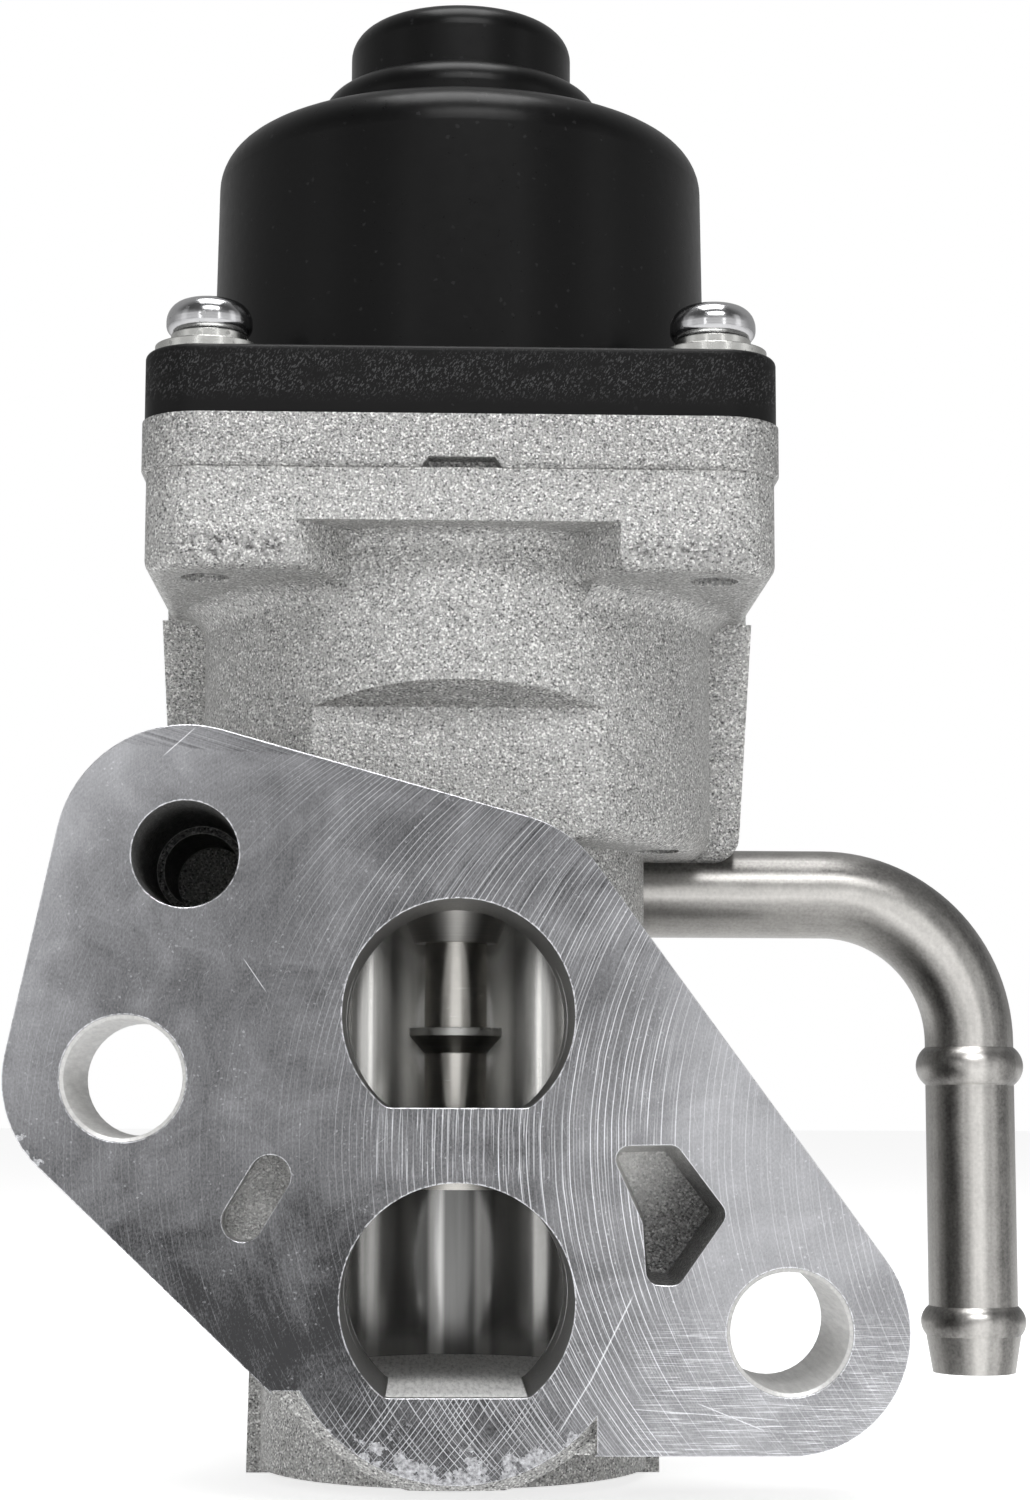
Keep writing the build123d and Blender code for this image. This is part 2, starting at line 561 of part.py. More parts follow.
def valve_body():
    """The casting: flange plate, columns, head, ports, bores, pockets and tapped holes."""
    body = along_y(flange_outline(), 0, FLANGE_THICKNESS)
    for centre in (LEFT_BOLT, RIGHT_BOLT):
        body += disc_y(centre, BOLT_LOBE_R, 0, BOSS_DEPTH)
    body += disc_y(COOLANT_LOBE, COOLANT_BOSS_R, 0, COOLANT_BOSS_END)
    x, z = COOLANT_LOBE
    web = Pos(x / 2, z) * Rectangle(-x, 2 * COOLANT_BOSS_R)
    body += along_y(web, AXIS_Y - COOLANT_BOSS_R / 2, COOLANT_BOSS_END)
    body += casting_columns() + casting_head()
    body -= cast_edge()

    body -= coolant_passages()
    body -= rod(CAVITY_R, CAVITY_FLOOR, HEAD_TOP + OVERCUT)
    body -= rod(UPPER_BORE_R, SEAT_LEDGE_Z, CAVITY_FLOOR + OVERCUT)
    body -= rod(LOWER_BORE_R, PORT_FLOOR, SEAT_LEDGE_Z + OVERCUT)
    for centre_z in (UPPER_PORT_Z, LOWER_PORT_Z):
        body -= along_y(port_outline(centre_z), -OVERCUT, AXIS_Y)
    for centre in (LEFT_BOLT, RIGHT_BOLT):
        body -= disc_y(centre, BOLT_HOLE_R, -OVERCUT, BOSS_DEPTH + OVERCUT)
        mouth = Plane.XZ * Pos(*centre) * Circle(BOLT_HOLE_R + BOLT_HOLE_CHAMFER)
        body -= extrude(mouth, amount=-BOLT_HOLE_CHAMFER, taper=45)

    start, end = SLOT_ENDS
    slot = make_hull((Sketch() + [Pos(*start) * Circle(SLOT_R), Pos(*end) * Circle(SLOT_R)]).edges())
    body -= along_y(slot, -OVERCUT, SLOT_DEPTH)
    pocket = make_face(Polyline(*POCKET_CORNERS, close=True))
    pocket = Plane.XZ * fillet(pocket.vertices(), POCKET_CORNER_R)
    body -= extrude(pocket, amount=-POCKET_DEPTH, taper=POCKET_DRAFT)

    for place in screw_places():
        body -= rod(SCREW_R, HEAD_BOTTOM - OVERCUT, HEAD_TOP + OVERCUT, at=place)
    pin_hole_top = UPPER_COLUMN_BOTTOM + CORE_PIN_HOLE_DEPTH
    return body - rod(CORE_PIN_HOLE_R, UPPER_COLUMN_BOTTOM - OVERCUT, pin_hole_top, at=CORE_PIN_HOLE)


def pipe_bead(outline):
    """Revolve a half outline (X, Z) round the axis of the hanging leg."""
    leg = Plane(origin=(PIPE_DROP_X, PIPE_Y, 0), x_dir=(1, 0, 0), z_dir=(0, -1, 0))
    return revolve(leg * make_face(outline), axis=Axis((PIPE_DROP_X, PIPE_Y, 0), (0, 0, 1)))


def coolant_pipe():
    """Bent steel pipe with a hose bead and a beaded end."""
    bend_x = PIPE_DROP_X - PIPE_BEND_R
    bend_z = PIPE_Z - PIPE_BEND_R
    level = Line((pipe_root(), PIPE_Y, PIPE_Z), (bend_x, PIPE_Y, PIPE_Z))
    middle = (bend_x + PIPE_BEND_R * sin(pi / 4), PIPE_Y, bend_z + PIPE_BEND_R * cos(pi / 4))
    bend = ThreePointArc(level @ 1, middle, (PIPE_DROP_X, PIPE_Y, bend_z))
    drop = Line(bend @ 1, (PIPE_DROP_X, PIPE_Y, PIPE_END_Z))
    path = Wire([level, bend, drop])
    mouth = Plane(origin=path @ 0, z_dir=path % 0)
    pipe = sweep(mouth * Circle(PIPE_R), path=path) - sweep(mouth * Circle(PIPE_BORE_R), path=path)

    low, high = BEAD_Z - BEAD_HALF, BEAD_Z + BEAD_HALF
    bead = pipe_bead([
        Line((PIPE_BORE_R, low), (PIPE_R, low)),
        ThreePointArc((PIPE_R, low), (BEAD_R, BEAD_Z), (PIPE_R, high)),
        Line((PIPE_R, high), (PIPE_BORE_R, high)),
        Line((PIPE_BORE_R, high), (PIPE_BORE_R, low))])

    foot_r = PIPE_R + END_BEAD_FOOT
    foot = END_BEAD_TOP - 2 * END_BEAD_HALF
    end = pipe_bead([
        ThreePointArc((PIPE_R, END_BEAD_TOP), (END_BEAD_R, END_BEAD_TOP - END_BEAD_HALF), (foot_r, foot)),
        Line((foot_r, foot), (END_TIP_R, PIPE_END_Z)),
        Line((END_TIP_R, PIPE_END_Z), (PIPE_BORE_R, PIPE_END_Z)),
        Line((PIPE_BORE_R, PIPE_END_Z), (PIPE_BORE_R, END_BEAD_TOP)),
        Line((PIPE_BORE_R, END_BEAD_TOP), (PIPE_R, END_BEAD_TOP))])
    straight_end = pipe_bead([
        Line((END_TIP_R, PIPE_END_Z), (foot_r, foot)),
        Line((foot_r, foot), (BEAD_R, foot)),
        Line((BEAD_R, foot), (BEAD_R, PIPE_END_Z)),
        Line((BEAD_R, PIPE_END_Z), (END_TIP_R, PIPE_END_Z))])
    return pipe - straight_end + bead + end


# ---------------------------------------------------------------- valve train
def valve_seat():
    """Hard ring pressed down onto the ledge between the two chambers."""
    return turned([
        (SEAT_BORE_R, SEAT_LEDGE_Z + SEAT_HEIGHT), (UPPER_BORE_R, SEAT_LEDGE_Z + SEAT_HEIGHT),
        (UPPER_BORE_R, SEAT_LEDGE_Z),
        (SEAT_BORE_R + SEAT_CHAMFER, SEAT_LEDGE_Z), (SEAT_BORE_R, SEAT_LEDGE_Z + SEAT_CHAMFER)])


def guide_carrier():
    """Flanged plug that closes the valve bore and holds the guide bush."""
    flange_r = CAVITY_R - CARRIER_FLANGE_GAP
    return turned([
        (GUIDE_R, CARRIER_BOTTOM), (UPPER_BORE_R, CARRIER_BOTTOM), (UPPER_BORE_R, CAVITY_FLOOR),
        (flange_r, CAVITY_FLOOR), (flange_r, CARRIER_TOP), (GUIDE_R, CARRIER_TOP)])


def stem_guide_bush():
    """Guide bush with a conical nose in the upper chamber and a seat for the stem seal."""
    return turned([
        (GUIDE_BORE_R, GUIDE_BOTTOM), (GUIDE_NOSE_R, GUIDE_BOTTOM),
        (GUIDE_R, GUIDE_BOTTOM + GUIDE_NOSE_HEIGHT), (GUIDE_R, GUIDE_TOP), (GUIDE_BORE_R, GUIDE_TOP)])


def stem_seal():
    """Lip seal on top of the guide bush."""
    top = GUIDE_TOP + SEAL_RING_HEIGHT
    return turned([
        (GUIDE_BORE_R, GUIDE_TOP), (SEAL_RING_R, GUIDE_TOP), (SEAL_RING_R, top - SEAL_RING_CHAMFER),
        (SEAL_RING_R - SEAL_RING_CHAMFER, top), (GUIDE_BORE_R, top)])


def valve_head():
    """Poppet below the seat: it opens downwards."""
    cone_top = POPPET_TOP + HEAD_BACK_CONE
    ceiling = POPPET_BOTTOM + HEAD_DISH
    return turned([
        (NECK_R, cone_top), (STEM_R + HEAD_NECK, cone_top),
        (HEAD_R - SEAT_CHAMFER - RUNNING, POPPET_TOP + SEAT_CHAMFER / 2), (HEAD_R, POPPET_TOP),
        (HEAD_R, POPPET_BOTTOM), (HEAD_R - HEAD_LAND, POPPET_BOTTOM), (HEAD_DISH_R, ceiling),
        (NECK_R, ceiling)])


def stem_shield():
    """Deflector collar that keeps soot off the guide."""
    return turned([
        (NECK_R, SHIELD_TOP), (SHIELD_R, SHIELD_TOP), (SHIELD_R, SHIELD_TOP - SHIELD_RIM),
        (STEM_R, SHIELD_BOTTOM), (NECK_R, SHIELD_BOTTOM)])


def valve_stem():
    """Stem, necked for the shield and the head, grooved for the retainer's clip."""
    foot = POPPET_BOTTOM + HEAD_DISH - BREAK_EDGE
    head_top = POPPET_TOP + HEAD_BACK_CONE
    groove_r = STEM_R - CLIP_GROOVE
    groove_top = RETAINER_TOP + CLIP_THICKNESS
    return turned([
        (0, foot), (NECK_R, foot), (NECK_R, head_top), (STEM_R, head_top),
        (STEM_R, SHIELD_BOTTOM), (NECK_R, SHIELD_BOTTOM), (NECK_R, SHIELD_TOP),
        (STEM_R, SHIELD_TOP), (STEM_R, RETAINER_TOP), (groove_r, RETAINER_TOP),
        (groove_r, groove_top), (STEM_R, groove_top), (STEM_R, STEM_TOP - BREAK_EDGE),
        (STEM_R - BREAK_EDGE, STEM_TOP), (0, STEM_TOP)])


def spring_retainer():
    """Pressed cup that takes the spring's thrust."""
    rim_r = RETAINER_LIP_R + RETAINER_THICKNESS
    rim_z = RETAINER_Z - RETAINER_LIP
    return turned([
        (STEM_R, RETAINER_Z), (RETAINER_LIP_R, RETAINER_Z), (RETAINER_LIP_R, rim_z),
        (rim_r, rim_z), (rim_r, RETAINER_TOP), (STEM_R, RETAINER_TOP)])


def retainer_clip():
    """Open clip in the stem's groove."""
    top = RETAINER_TOP + CLIP_THICKNESS
    clip = ring(STEM_R - CLIP_GROOVE, CLIP_R, RETAINER_TOP, top)
    slot = Rectangle(2 * CLIP_SLOT_HALF, CLIP_R + OVERCUT, align=(Align.CENTER, Align.MIN))
    return clip - upright(slot, RETAINER_TOP, top)


def return_spring():
    """Closing spring with ground ends, from the carrier's flange to the retainer."""
    height = RETAINER_Z - CARRIER_TOP
    path = Pos(0, AXIS_Y, CARRIER_TOP) * Helix(height / SPRING_TURNS, height, SPRING_MEAN_R)
    section = Plane(origin=path @ 0, z_dir=path % 0) * Circle(SPRING_WIRE_R)
    return sweep(section, path=path, is_frenet=True) & rod(CAVITY_R, CARRIER_TOP, RETAINER_Z)


# ---------------------------------------------------------------- spacer, housing, fasteners
def spacer_plate():
    """Aluminium base of the motor: bearing pocket, register spigot and pry slot."""
    square = RectangleRounded(2 * SPACER_HALF, 2 * SPACER_HALF, SPACER_CORNER_R)
    plate = upright(square, HEAD_TOP, SPACER_TOP)
    plate = chamfer(plate.faces().sort_by(Axis.Z)[0].edges(), SPACER_CHAMFER)
    plate += rod(SPIGOT_R, SPIGOT_BOTTOM, HEAD_TOP)
    plate += rod(BEARING_R + BEARING_COLLAR_WALL, SPACER_TOP, BEARING_TOP)
    plate -= rod(BEARING_R, BEARING_BOTTOM, BEARING_TOP + OVERCUT)
    plate -= rod(SHAFT_GUIDE_R, SPIGOT_BOTTOM - OVERCUT, BEARING_TOP)
    slot = make_face(Polyline(
        (-PRY_SLOT_BASE / 2, HEAD_TOP), (PRY_SLOT_BASE / 2, HEAD_TOP),
        (PRY_SLOT_TOP / 2, HEAD_TOP + PRY_SLOT_HEIGHT), (-PRY_SLOT_TOP / 2, HEAD_TOP + PRY_SLOT_HEIGHT),
        close=True))
    plate -= along_y(slot, -FAR, AXIS_Y - SPACER_HALF + PRY_SLOT_DEPTH)
    for place in screw_places():
        plate -= rod(SCREW_HOLE_R, HEAD_TOP - OVERCUT, SPACER_TOP + OVERCUT, at=place)
    return plate


def rounded_corner(radius, top, size):
    """Quarter round between an upright wall at `radius` and a level top."""
    bow = size * (1 - cos(pi / 4))
    return ThreePointArc((radius, top - size), (radius - bow, top - bow), (radius - size, top))


def dome_outline():
    """Outside of the dome, collar and knob as a half section."""
    shoulder_r = DOME_R - DOME_LEAN
    roof_z = DOME_TOP - DOME_CROWN
    return make_face([
        Line((0, SPACER_TOP), (DOME_R, SPACER_TOP)),
        Line((DOME_R, SPACER_TOP), (shoulder_r, roof_z - DOME_SHOULDER_R)),
        rounded_corner(shoulder_r, roof_z, DOME_SHOULDER_R),
        Line((shoulder_r - DOME_SHOULDER_R, roof_z), (COLLAR_R, DOME_TOP)),
        Line((COLLAR_R, DOME_TOP), (COLLAR_R, COLLAR_TOP - COLLAR_EDGE_R)),
        rounded_corner(COLLAR_R, COLLAR_TOP, COLLAR_EDGE_R),
        Line((COLLAR_R - COLLAR_EDGE_R, COLLAR_TOP), (KNOB_R, COLLAR_TOP)),
        Line((KNOB_R, COLLAR_TOP), (KNOB_R, KNOB_TOP - KNOB_EDGE_R)),
        rounded_corner(KNOB_R, KNOB_TOP, KNOB_EDGE_R),
        Line((KNOB_R - KNOB_EDGE_R, KNOB_TOP), (0, KNOB_TOP)),
        Line((0, KNOB_TOP), (0, SPACER_TOP))])


def socket_plan(wall):
    """Outline of the connector shroud in (X, Z), `wall` inside its outer face."""
    return Pos(0, SOCKET_Z) * RectangleRounded(
        SOCKET_WIDTH - 2 * wall, SOCKET_HEIGHT - 2 * wall, SOCKET_CORNER_R - wall)


def motor_housing():
    """Moulded housing: square flange, dome, collar, knob and connector shroud."""
    square = RectangleRounded(2 * MOTOR_FLANGE_HALF, 2 * MOTOR_FLANGE_HALF, MOTOR_FLANGE_CORNER_R)
    flange = upright(square, SPACER_TOP, MOTOR_FLANGE_TOP)
    flange = fillet(flange.faces().sort_by(Axis.Z)[-1].edges(), FLANGE_EDGE_R)
    dome = revolve(Plane.XZ.offset(-AXIS_Y) * dome_outline(), axis=VALVE_AXIS)
    housing = flange + dome + along_y(socket_plan(0), AXIS_Y, SOCKET_END_Y)

    housing -= rod(STATOR_R, SPACER_TOP - OVERCUT, STACK_TOP)
    housing -= rod(BUSH_R, STACK_TOP - OVERCUT, BUSH_TOP)
    housing -= rod(SHAFT_R + SHAFT_ROOM, BUSH_TOP - OVERCUT, ROOF_BORE_TOP)
    housing -= along_y(socket_plan(SOCKET_WALL), SOCKET_FLOOR_Y, SOCKET_END_Y + OVERCUT)
    groove_half = SEAL_WIDTH / 2 + SEAL_SIDE_GAP
    housing -= ring(SEAL_GROOVE_R - groove_half, SEAL_GROOVE_R + groove_half,
                    SPACER_TOP - OVERCUT, SPACER_TOP + SEAL_HEIGHT)
    for place in screw_places():
        housing -= rod(SCREW_HOLE_R, SPACER_TOP - OVERCUT, MOTOR_FLANGE_TOP + OVERCUT, at=place)
    return housing - connector_terminals()


def connector_terminals():
    """Blade pins in the connector, buried at their inner ends."""
    back, front = SOCKET_FLOOR_Y - PIN_IN, SOCKET_FLOOR_Y + PIN_OUT
    pins = []
    for column in range(PIN_COLUMNS):
        for row in range(PIN_ROWS):
            x = (column - (PIN_COLUMNS - 1) / 2) * PIN_PITCH
            z = SOCKET_Z + (row - (PIN_ROWS - 1) / 2) * PIN_ROW_PITCH
            pin = along_y(Pos(x, z) * Rectangle(PIN_SIZE, PIN_SIZE), back, front)
            tip = pin.faces().sort_by(Axis.Y)[-1].edges()
            pins.append(chamfer(tip, PIN_SIZE / 4))
    return Compound(children=pins)


def housing_seal():
    """Seal ring squeezed in the housing's groove."""
    section = Pos(SEAL_GROOVE_R, SPACER_TOP + SEAL_HEIGHT / 2) * RectangleRounded(
        SEAL_WIDTH, SEAL_HEIGHT, SEAL_CORNER_R)
    return revolve(Plane.XZ.offset(-AXIS_Y) * section, axis=VALVE_AXIS)


def motor_screw():
    """Pan-head screw with a cross recess, on the valve axis."""
    top = SCREW_SEAT + SCREW_HEAD_HEIGHT
    head = rod(SCREW_HEAD_R, SCREW_SEAT, top)
    head = fillet(head.faces().sort_by(Axis.Z)[-1].edges(), SCREW_HEAD_ROUND)
    head = fillet(head.faces().sort_by(Axis.Z)[0].edges(), SCREW_HEAD_FOOT_R)
    shank = rod(SCREW_R, SCREW_END, SCREW_SEAT)
    cross = Rectangle(CROSS_LENGTH, CROSS_WIDTH) + Rectangle(CROSS_WIDTH, CROSS_LENGTH)
    return head + shank - upright(cross, top - CROSS_DEPTH, top)


def spring_washer():
    """Split lock washer."""
    washer = ring(WASHER_HOLE_R, SPRING_WASHER_R, WASHER_TOP, SCREW_SEAT)
    slit = Pos(SPRING_WASHER_R, 0) * Rectangle(2 * (SPRING_WASHER_R - SCREW_R), SPRING_WASHER_SLIT)
    return washer - upright(slit, WASHER_TOP, SCREW_SEAT)


def flat_washer():
    """Plain washer."""
    return ring(WASHER_HOLE_R, FLAT_WASHER_R, MOTOR_FLANGE_TOP, WASHER_TOP)


def at_screws(piece):
    """Copies of a piece at the four screw places, as separate solids."""
    return Compound(children=[Pos(x, y, 0) * piece for x, y in screw_places()])


# ---------------------------------------------------------------- motor
def shaft_guide():
    """Bush with a flatted bore that stops the shaft from turning."""
    guide = rod(SHAFT_GUIDE_R, SHAFT_GUIDE_BOTTOM, BEARING_BOTTOM)
    guide += rod(SHAFT_GUIDE_FLANGE_R, SPIGOT_BOTTOM - SHAFT_GUIDE_FLANGE, SPIGOT_BOTTOM)
    bore = Circle(SHAFT_R + RUNNING) & Rectangle(FAR, 2 * (SHAFT_FLAT_HALF + RUNNING))
    return guide - upright(bore, SHAFT_GUIDE_BOTTOM, BEARING_BOTTOM)


def motor_shaft():
    """Lead screw: threaded above, flatted below."""
    shaft = rod(SHAFT_R, SHAFT_TIP, SHAFT_TOP)
    ends = shaft.faces().filter_by(GeomType.PLANE).edges()
    shaft = chamfer(ends, SHAFT_CHAMFER)
    for side in (Align.MIN, Align.MAX):
        shift = SHAFT_FLAT_HALF if side == Align.MIN else -SHAFT_FLAT_HALF
        flat = Pos(0, shift) * Rectangle(FAR, FAR, align=(Align.CENTER, side))
        shaft -= upright(flat, SHAFT_TIP, SHAFT_FLAT_TOP)
    return shaft


def bearing_outer_race():
    """Outer race, pressed into the spacer plate."""
    land = BALL_PITCH_R + RACE_LAND
    return ring(land, BEARING_R, BEARING_BOTTOM, BEARING_TOP) - bearing_groove()


def bearing_inner_race():
    """Inner race, pressed onto the rotor hub."""
    land = BALL_PITCH_R - RACE_LAND
    return ring(BEARING_BORE_R, land, BEARING_BOTTOM, BEARING_TOP) - bearing_groove()


def bearing_balls():
    """Evenly spaced balls."""
    ball = Pos(BALL_PITCH_R, AXIS_Y, BEARING_MID) * Sphere(BALL_R)
    return Compound(children=[turn * ball for turn in polar(BALL_COUNT)])


def bearing_cage():
    """Crown cage: a ring above the balls with a pocket for each."""
    cage = ring(BALL_PITCH_R - CAGE_HALF, BALL_PITCH_R + CAGE_HALF,
                BEARING_MID - CAGE_DROP, BEARING_MID + CAGE_RISE)
    pocket = Pos(BALL_PITCH_R, AXIS_Y, BEARING_MID) * Sphere(BALL_R + RUNNING)
    for turn in polar(BALL_COUNT):
        cage -= turn * pocket
    return cage


def rotor_hub():
    """Plastic hub: lower journal, flange, magnet seat and upper journal."""
    shoulder_r = BEARING_BORE_R + HUB_SHOULDER
    flange_r = MAGNET_R - HUB_FLANGE_INSET
    foot = BEARING_BOTTOM + END_GAP
    return turned([
        (HUB_BORE_R, foot), (BEARING_BORE_R, foot), (BEARING_BORE_R, BEARING_TOP),
        (shoulder_r, BEARING_TOP), (shoulder_r, HUB_FLANGE_BOTTOM), (flange_r, HUB_FLANGE_BOTTOM),
        (flange_r, MAGNET_BOTTOM), (HUB_R, MAGNET_BOTTOM), (HUB_R, MAGNET_TOP),
        (JOURNAL_R, MAGNET_TOP), (JOURNAL_R, JOURNAL_TOP), (HUB_BORE_R, JOURNAL_TOP),
        (HUB_BORE_R, NUT_TOP), (NUT_R, NUT_TOP), (NUT_R, NUT_BOTTOM), (HUB_BORE_R, NUT_BOTTOM)])


def rotor_nut():
    """Nut moulded into the hub; its thread is drawn at mean diameter."""
    return ring(SHAFT_R + RUNNING, NUT_R, NUT_BOTTOM, NUT_TOP)


def rotor_magnet():
    """Ring magnet."""
    return ring(HUB_R, MAGNET_R, MAGNET_BOTTOM, MAGNET_TOP)


def upper_bush():
    """Plain bearing in the housing's roof."""
    return ring(JOURNAL_R + RUNNING, BUSH_R, STACK_TOP, BUSH_TOP)


def claw(root_z, tip_z):
    """One tapered pole, bent out of a stator plate, on the +X side."""
    root = POLE_R * radians(CLAW_ROOT_ANGLE) / 2
    tip = POLE_R * radians(CLAW_TIP_ANGLE) / 2
    blank = make_face(Polyline((-root, root_z), (root, root_z), (tip, tip_z), (-tip, tip_z), close=True))
    blank = across_x(Pos(AXIS_Y, 0) * blank, 0, POLE_R + 2 * CUP_THICKNESS)
    return blank & ring(POLE_R, POLE_R + CUP_THICKNESS, min(root_z, tip_z), max(root_z, tip_z))


def stator_half(bottom):
    """Cup, pole plate, bobbin and coil of one phase; the cup's floor is at the bottom."""
    top = bottom + STACK_HALF
    cup = ring(POLE_R, STATOR_R, bottom, bottom + CUP_THICKNESS)
    cup += ring(CUP_IN_R, STATOR_R, bottom, top)
    plate = ring(POLE_R, CUP_IN_R, top - CUP_THICKNESS, top)
    half_pitch = 180.0 / CLAWS
    for turn in polar(CLAWS):
        cup += turn * claw(bottom, top - CUP_THICKNESS - CLAW_END_GAP)
    for turn in polar(CLAWS, half_pitch):
        plate += turn * claw(top, bottom + CUP_THICKNESS + CLAW_END_GAP)

    low = bottom + CUP_THICKNESS + BOBBIN_GAP
    high = top - CUP_THICKNESS - BOBBIN_GAP
    core = POLE_R + CUP_THICKNESS + BOBBIN_GAP
    rim = CUP_IN_R - BOBBIN_GAP
    wound = core + BOBBIN_WALL
    bobbin = turned([
        (core, low), (rim, low), (rim, low + BOBBIN_WALL), (wound, low + BOBBIN_WALL),
        (wound, high - BOBBIN_WALL), (rim, high - BOBBIN_WALL), (rim, high), (core, high)])
    coil = ring(wound, rim - COIL_INSET, low + BOBBIN_WALL, high - BOBBIN_WALL)
    return {"stator_cup": cup, "pole_plate": plate, "bobbin": bobbin, "coil": coil}


def upside_down(piece):
    """Mirror a lower stator piece to the upper half of the stack."""
    return mirror(piece, about=Plane.XY.offset((STACK_BOTTOM + STACK_TOP) / 2))


# ---------------------------------------------------------------- build
def main():
    """Build and write every node."""
    nodes = {
        "valve_body": valve_body(),
        "coolant_pipe": coolant_pipe(),
        "valve_seat": valve_seat(),
        "guide_carrier": guide_carrier(),
        "stem_guide_bush": stem_guide_bush(),
        "stem_seal": stem_seal(),
        "valve_head": valve_head(),
        "valve_stem": valve_stem(),
        "stem_shield": stem_shield(),
        "spring_retainer": spring_retainer(),
        "retainer_clip": retainer_clip(),
        "return_spring": return_spring(),
        "spacer_plate": spacer_plate(),
        "motor_housing": motor_housing(),
        "housing_seal": housing_seal(),
        "connector_terminals": connector_terminals(),
        "motor_screws": at_screws(motor_screw()),
        "spring_washers": at_screws(spring_washer()),
        "flat_washers": at_screws(flat_washer()),
        "shaft_guide": shaft_guide(),
        "motor_shaft": motor_shaft(),
        "bearing_outer_race": bearing_outer_race(),
        "bearing_inner_race": bearing_inner_race(),
        "bearing_balls": bearing_balls(),
        "bearing_cage": bearing_cage(),
        "rotor_hub": rotor_hub(),
        "rotor_nut": rotor_nut(),
        "rotor_magnet": rotor_magnet(),
        "upper_bush": upper_bush(),
    }
    for name, piece in stator_half(STACK_BOTTOM).items():
        nodes[f"lower_{name}"] = piece
        nodes[f"upper_{name}"] = upside_down(piece)
    for name, shape in nodes.items():
        save(name, shape)


main()
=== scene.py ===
import math
import bpy
from mathutils import Euler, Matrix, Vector


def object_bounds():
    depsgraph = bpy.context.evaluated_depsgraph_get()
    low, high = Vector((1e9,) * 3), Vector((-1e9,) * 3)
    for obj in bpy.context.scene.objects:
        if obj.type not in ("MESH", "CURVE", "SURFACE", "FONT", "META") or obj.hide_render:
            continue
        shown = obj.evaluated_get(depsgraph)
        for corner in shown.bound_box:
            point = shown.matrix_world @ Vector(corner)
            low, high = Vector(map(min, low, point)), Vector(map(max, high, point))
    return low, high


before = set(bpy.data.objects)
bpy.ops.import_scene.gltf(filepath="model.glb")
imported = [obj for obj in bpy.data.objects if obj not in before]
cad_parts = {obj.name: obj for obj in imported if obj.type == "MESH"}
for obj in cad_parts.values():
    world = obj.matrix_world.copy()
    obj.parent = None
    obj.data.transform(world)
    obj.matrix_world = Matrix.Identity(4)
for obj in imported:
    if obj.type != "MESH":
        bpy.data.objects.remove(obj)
cad_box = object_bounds()
scene = bpy.context.scene

# ---------------------------------------------------------------- places on the valve, in mm
# The flange face lies in y = 0 and looks towards -y; a place on it is x, z.
PORTS = [(0.0, 10.3), (0.0, -12.2)]
PORT_R = 9.27
PORT_FLAT = 7.36                      # the ports are cut flat this far below their centres
PORT_DEPTH = 17.0
PORT_FLOOR = -19.56                   # z of the lower port's cast floor
BOLTS = [(-26.5, 5.2), (26.2, -14.5)]
BOLT_MOUTH_R = 5.0
BOLT_DEPTH = 16.45
COOLANT = (-21.9, 23.0)
COOLANT_R = 4.3
COOLANT_DEPTH = 30.0
AXIS_Y = 26.7                         # the valve's upright axis stands here, at x = 0
BORE_R = 12.15
BORE_TOP = 46.0
MOTOR_FLANGE_TOP = 65.1
PIPE_ROOT_X = 14.2
CUTTER_R = 36.5                       # radius of the cutter's arcs on the flange face
ARC_PITCH = 0.56

# painted reflections on the bores' walls, as upright light bands: x, half the width, strength
UPPER_PAINTED_REFLECTIONS = [(-8.7, 0.22, 0.40), (-7.7, 0.18, 0.34), (-6.35, 0.40, 0.50), (-4.4, 1.1, 0.12),
               (4.4, 1.2, 0.26), (6.3, 0.48, 0.60), (7.8, 0.20, 0.40), (9.0, 0.40, 0.60)]
LOWER_PAINTED_REFLECTIONS = [(-7.3, 0.50, 0.34), (-1.6, 0.60, 0.62), (2.75, 0.65, 0.52), (5.2, 1.4, 0.10),
               (7.9, 0.55, 0.75)]
# long scratches on the flange face: both ends, width
SCRATCHES = [((13.7, -11.9), (10.4, -18.4), 0.09), ((10.6, -18.0), (8.0, -22.2), 0.08),
             ((-5.0, 16.5), (-1.0, 19.6), 0.05), ((16.0, -19.0), (27.0, -18.4), 0.06),
             ((14.0, -20.4), (25.0, -21.2), 0.05), ((-17.0, 14.5), (-15.4, 12.2), 0.05),
             ((19.0, -20.0), (24.0, -22.0), 0.06), ((-23.6, 31.0), (-21.4, 33.0), 0.06)]

# ---------------------------------------------------------------- tints and grey levels
WARM_WHITE = (1.0, 0.995, 0.98)
COOL_WHITE = (0.975, 0.98, 1.02)
STEEL_WHITE = (1.0, 0.975, 0.935)
BODY_LEVEL = 0.46
PLATE_LEVEL = 0.39
CAST_METAL = 0.72
FACE_LEVEL = 0.20
PIPE_LEVEL = 0.36


# ---------------------------------------------------------------- node trees written as sums
def lerp(factor, a, b):
    return a + factor * (b - a)


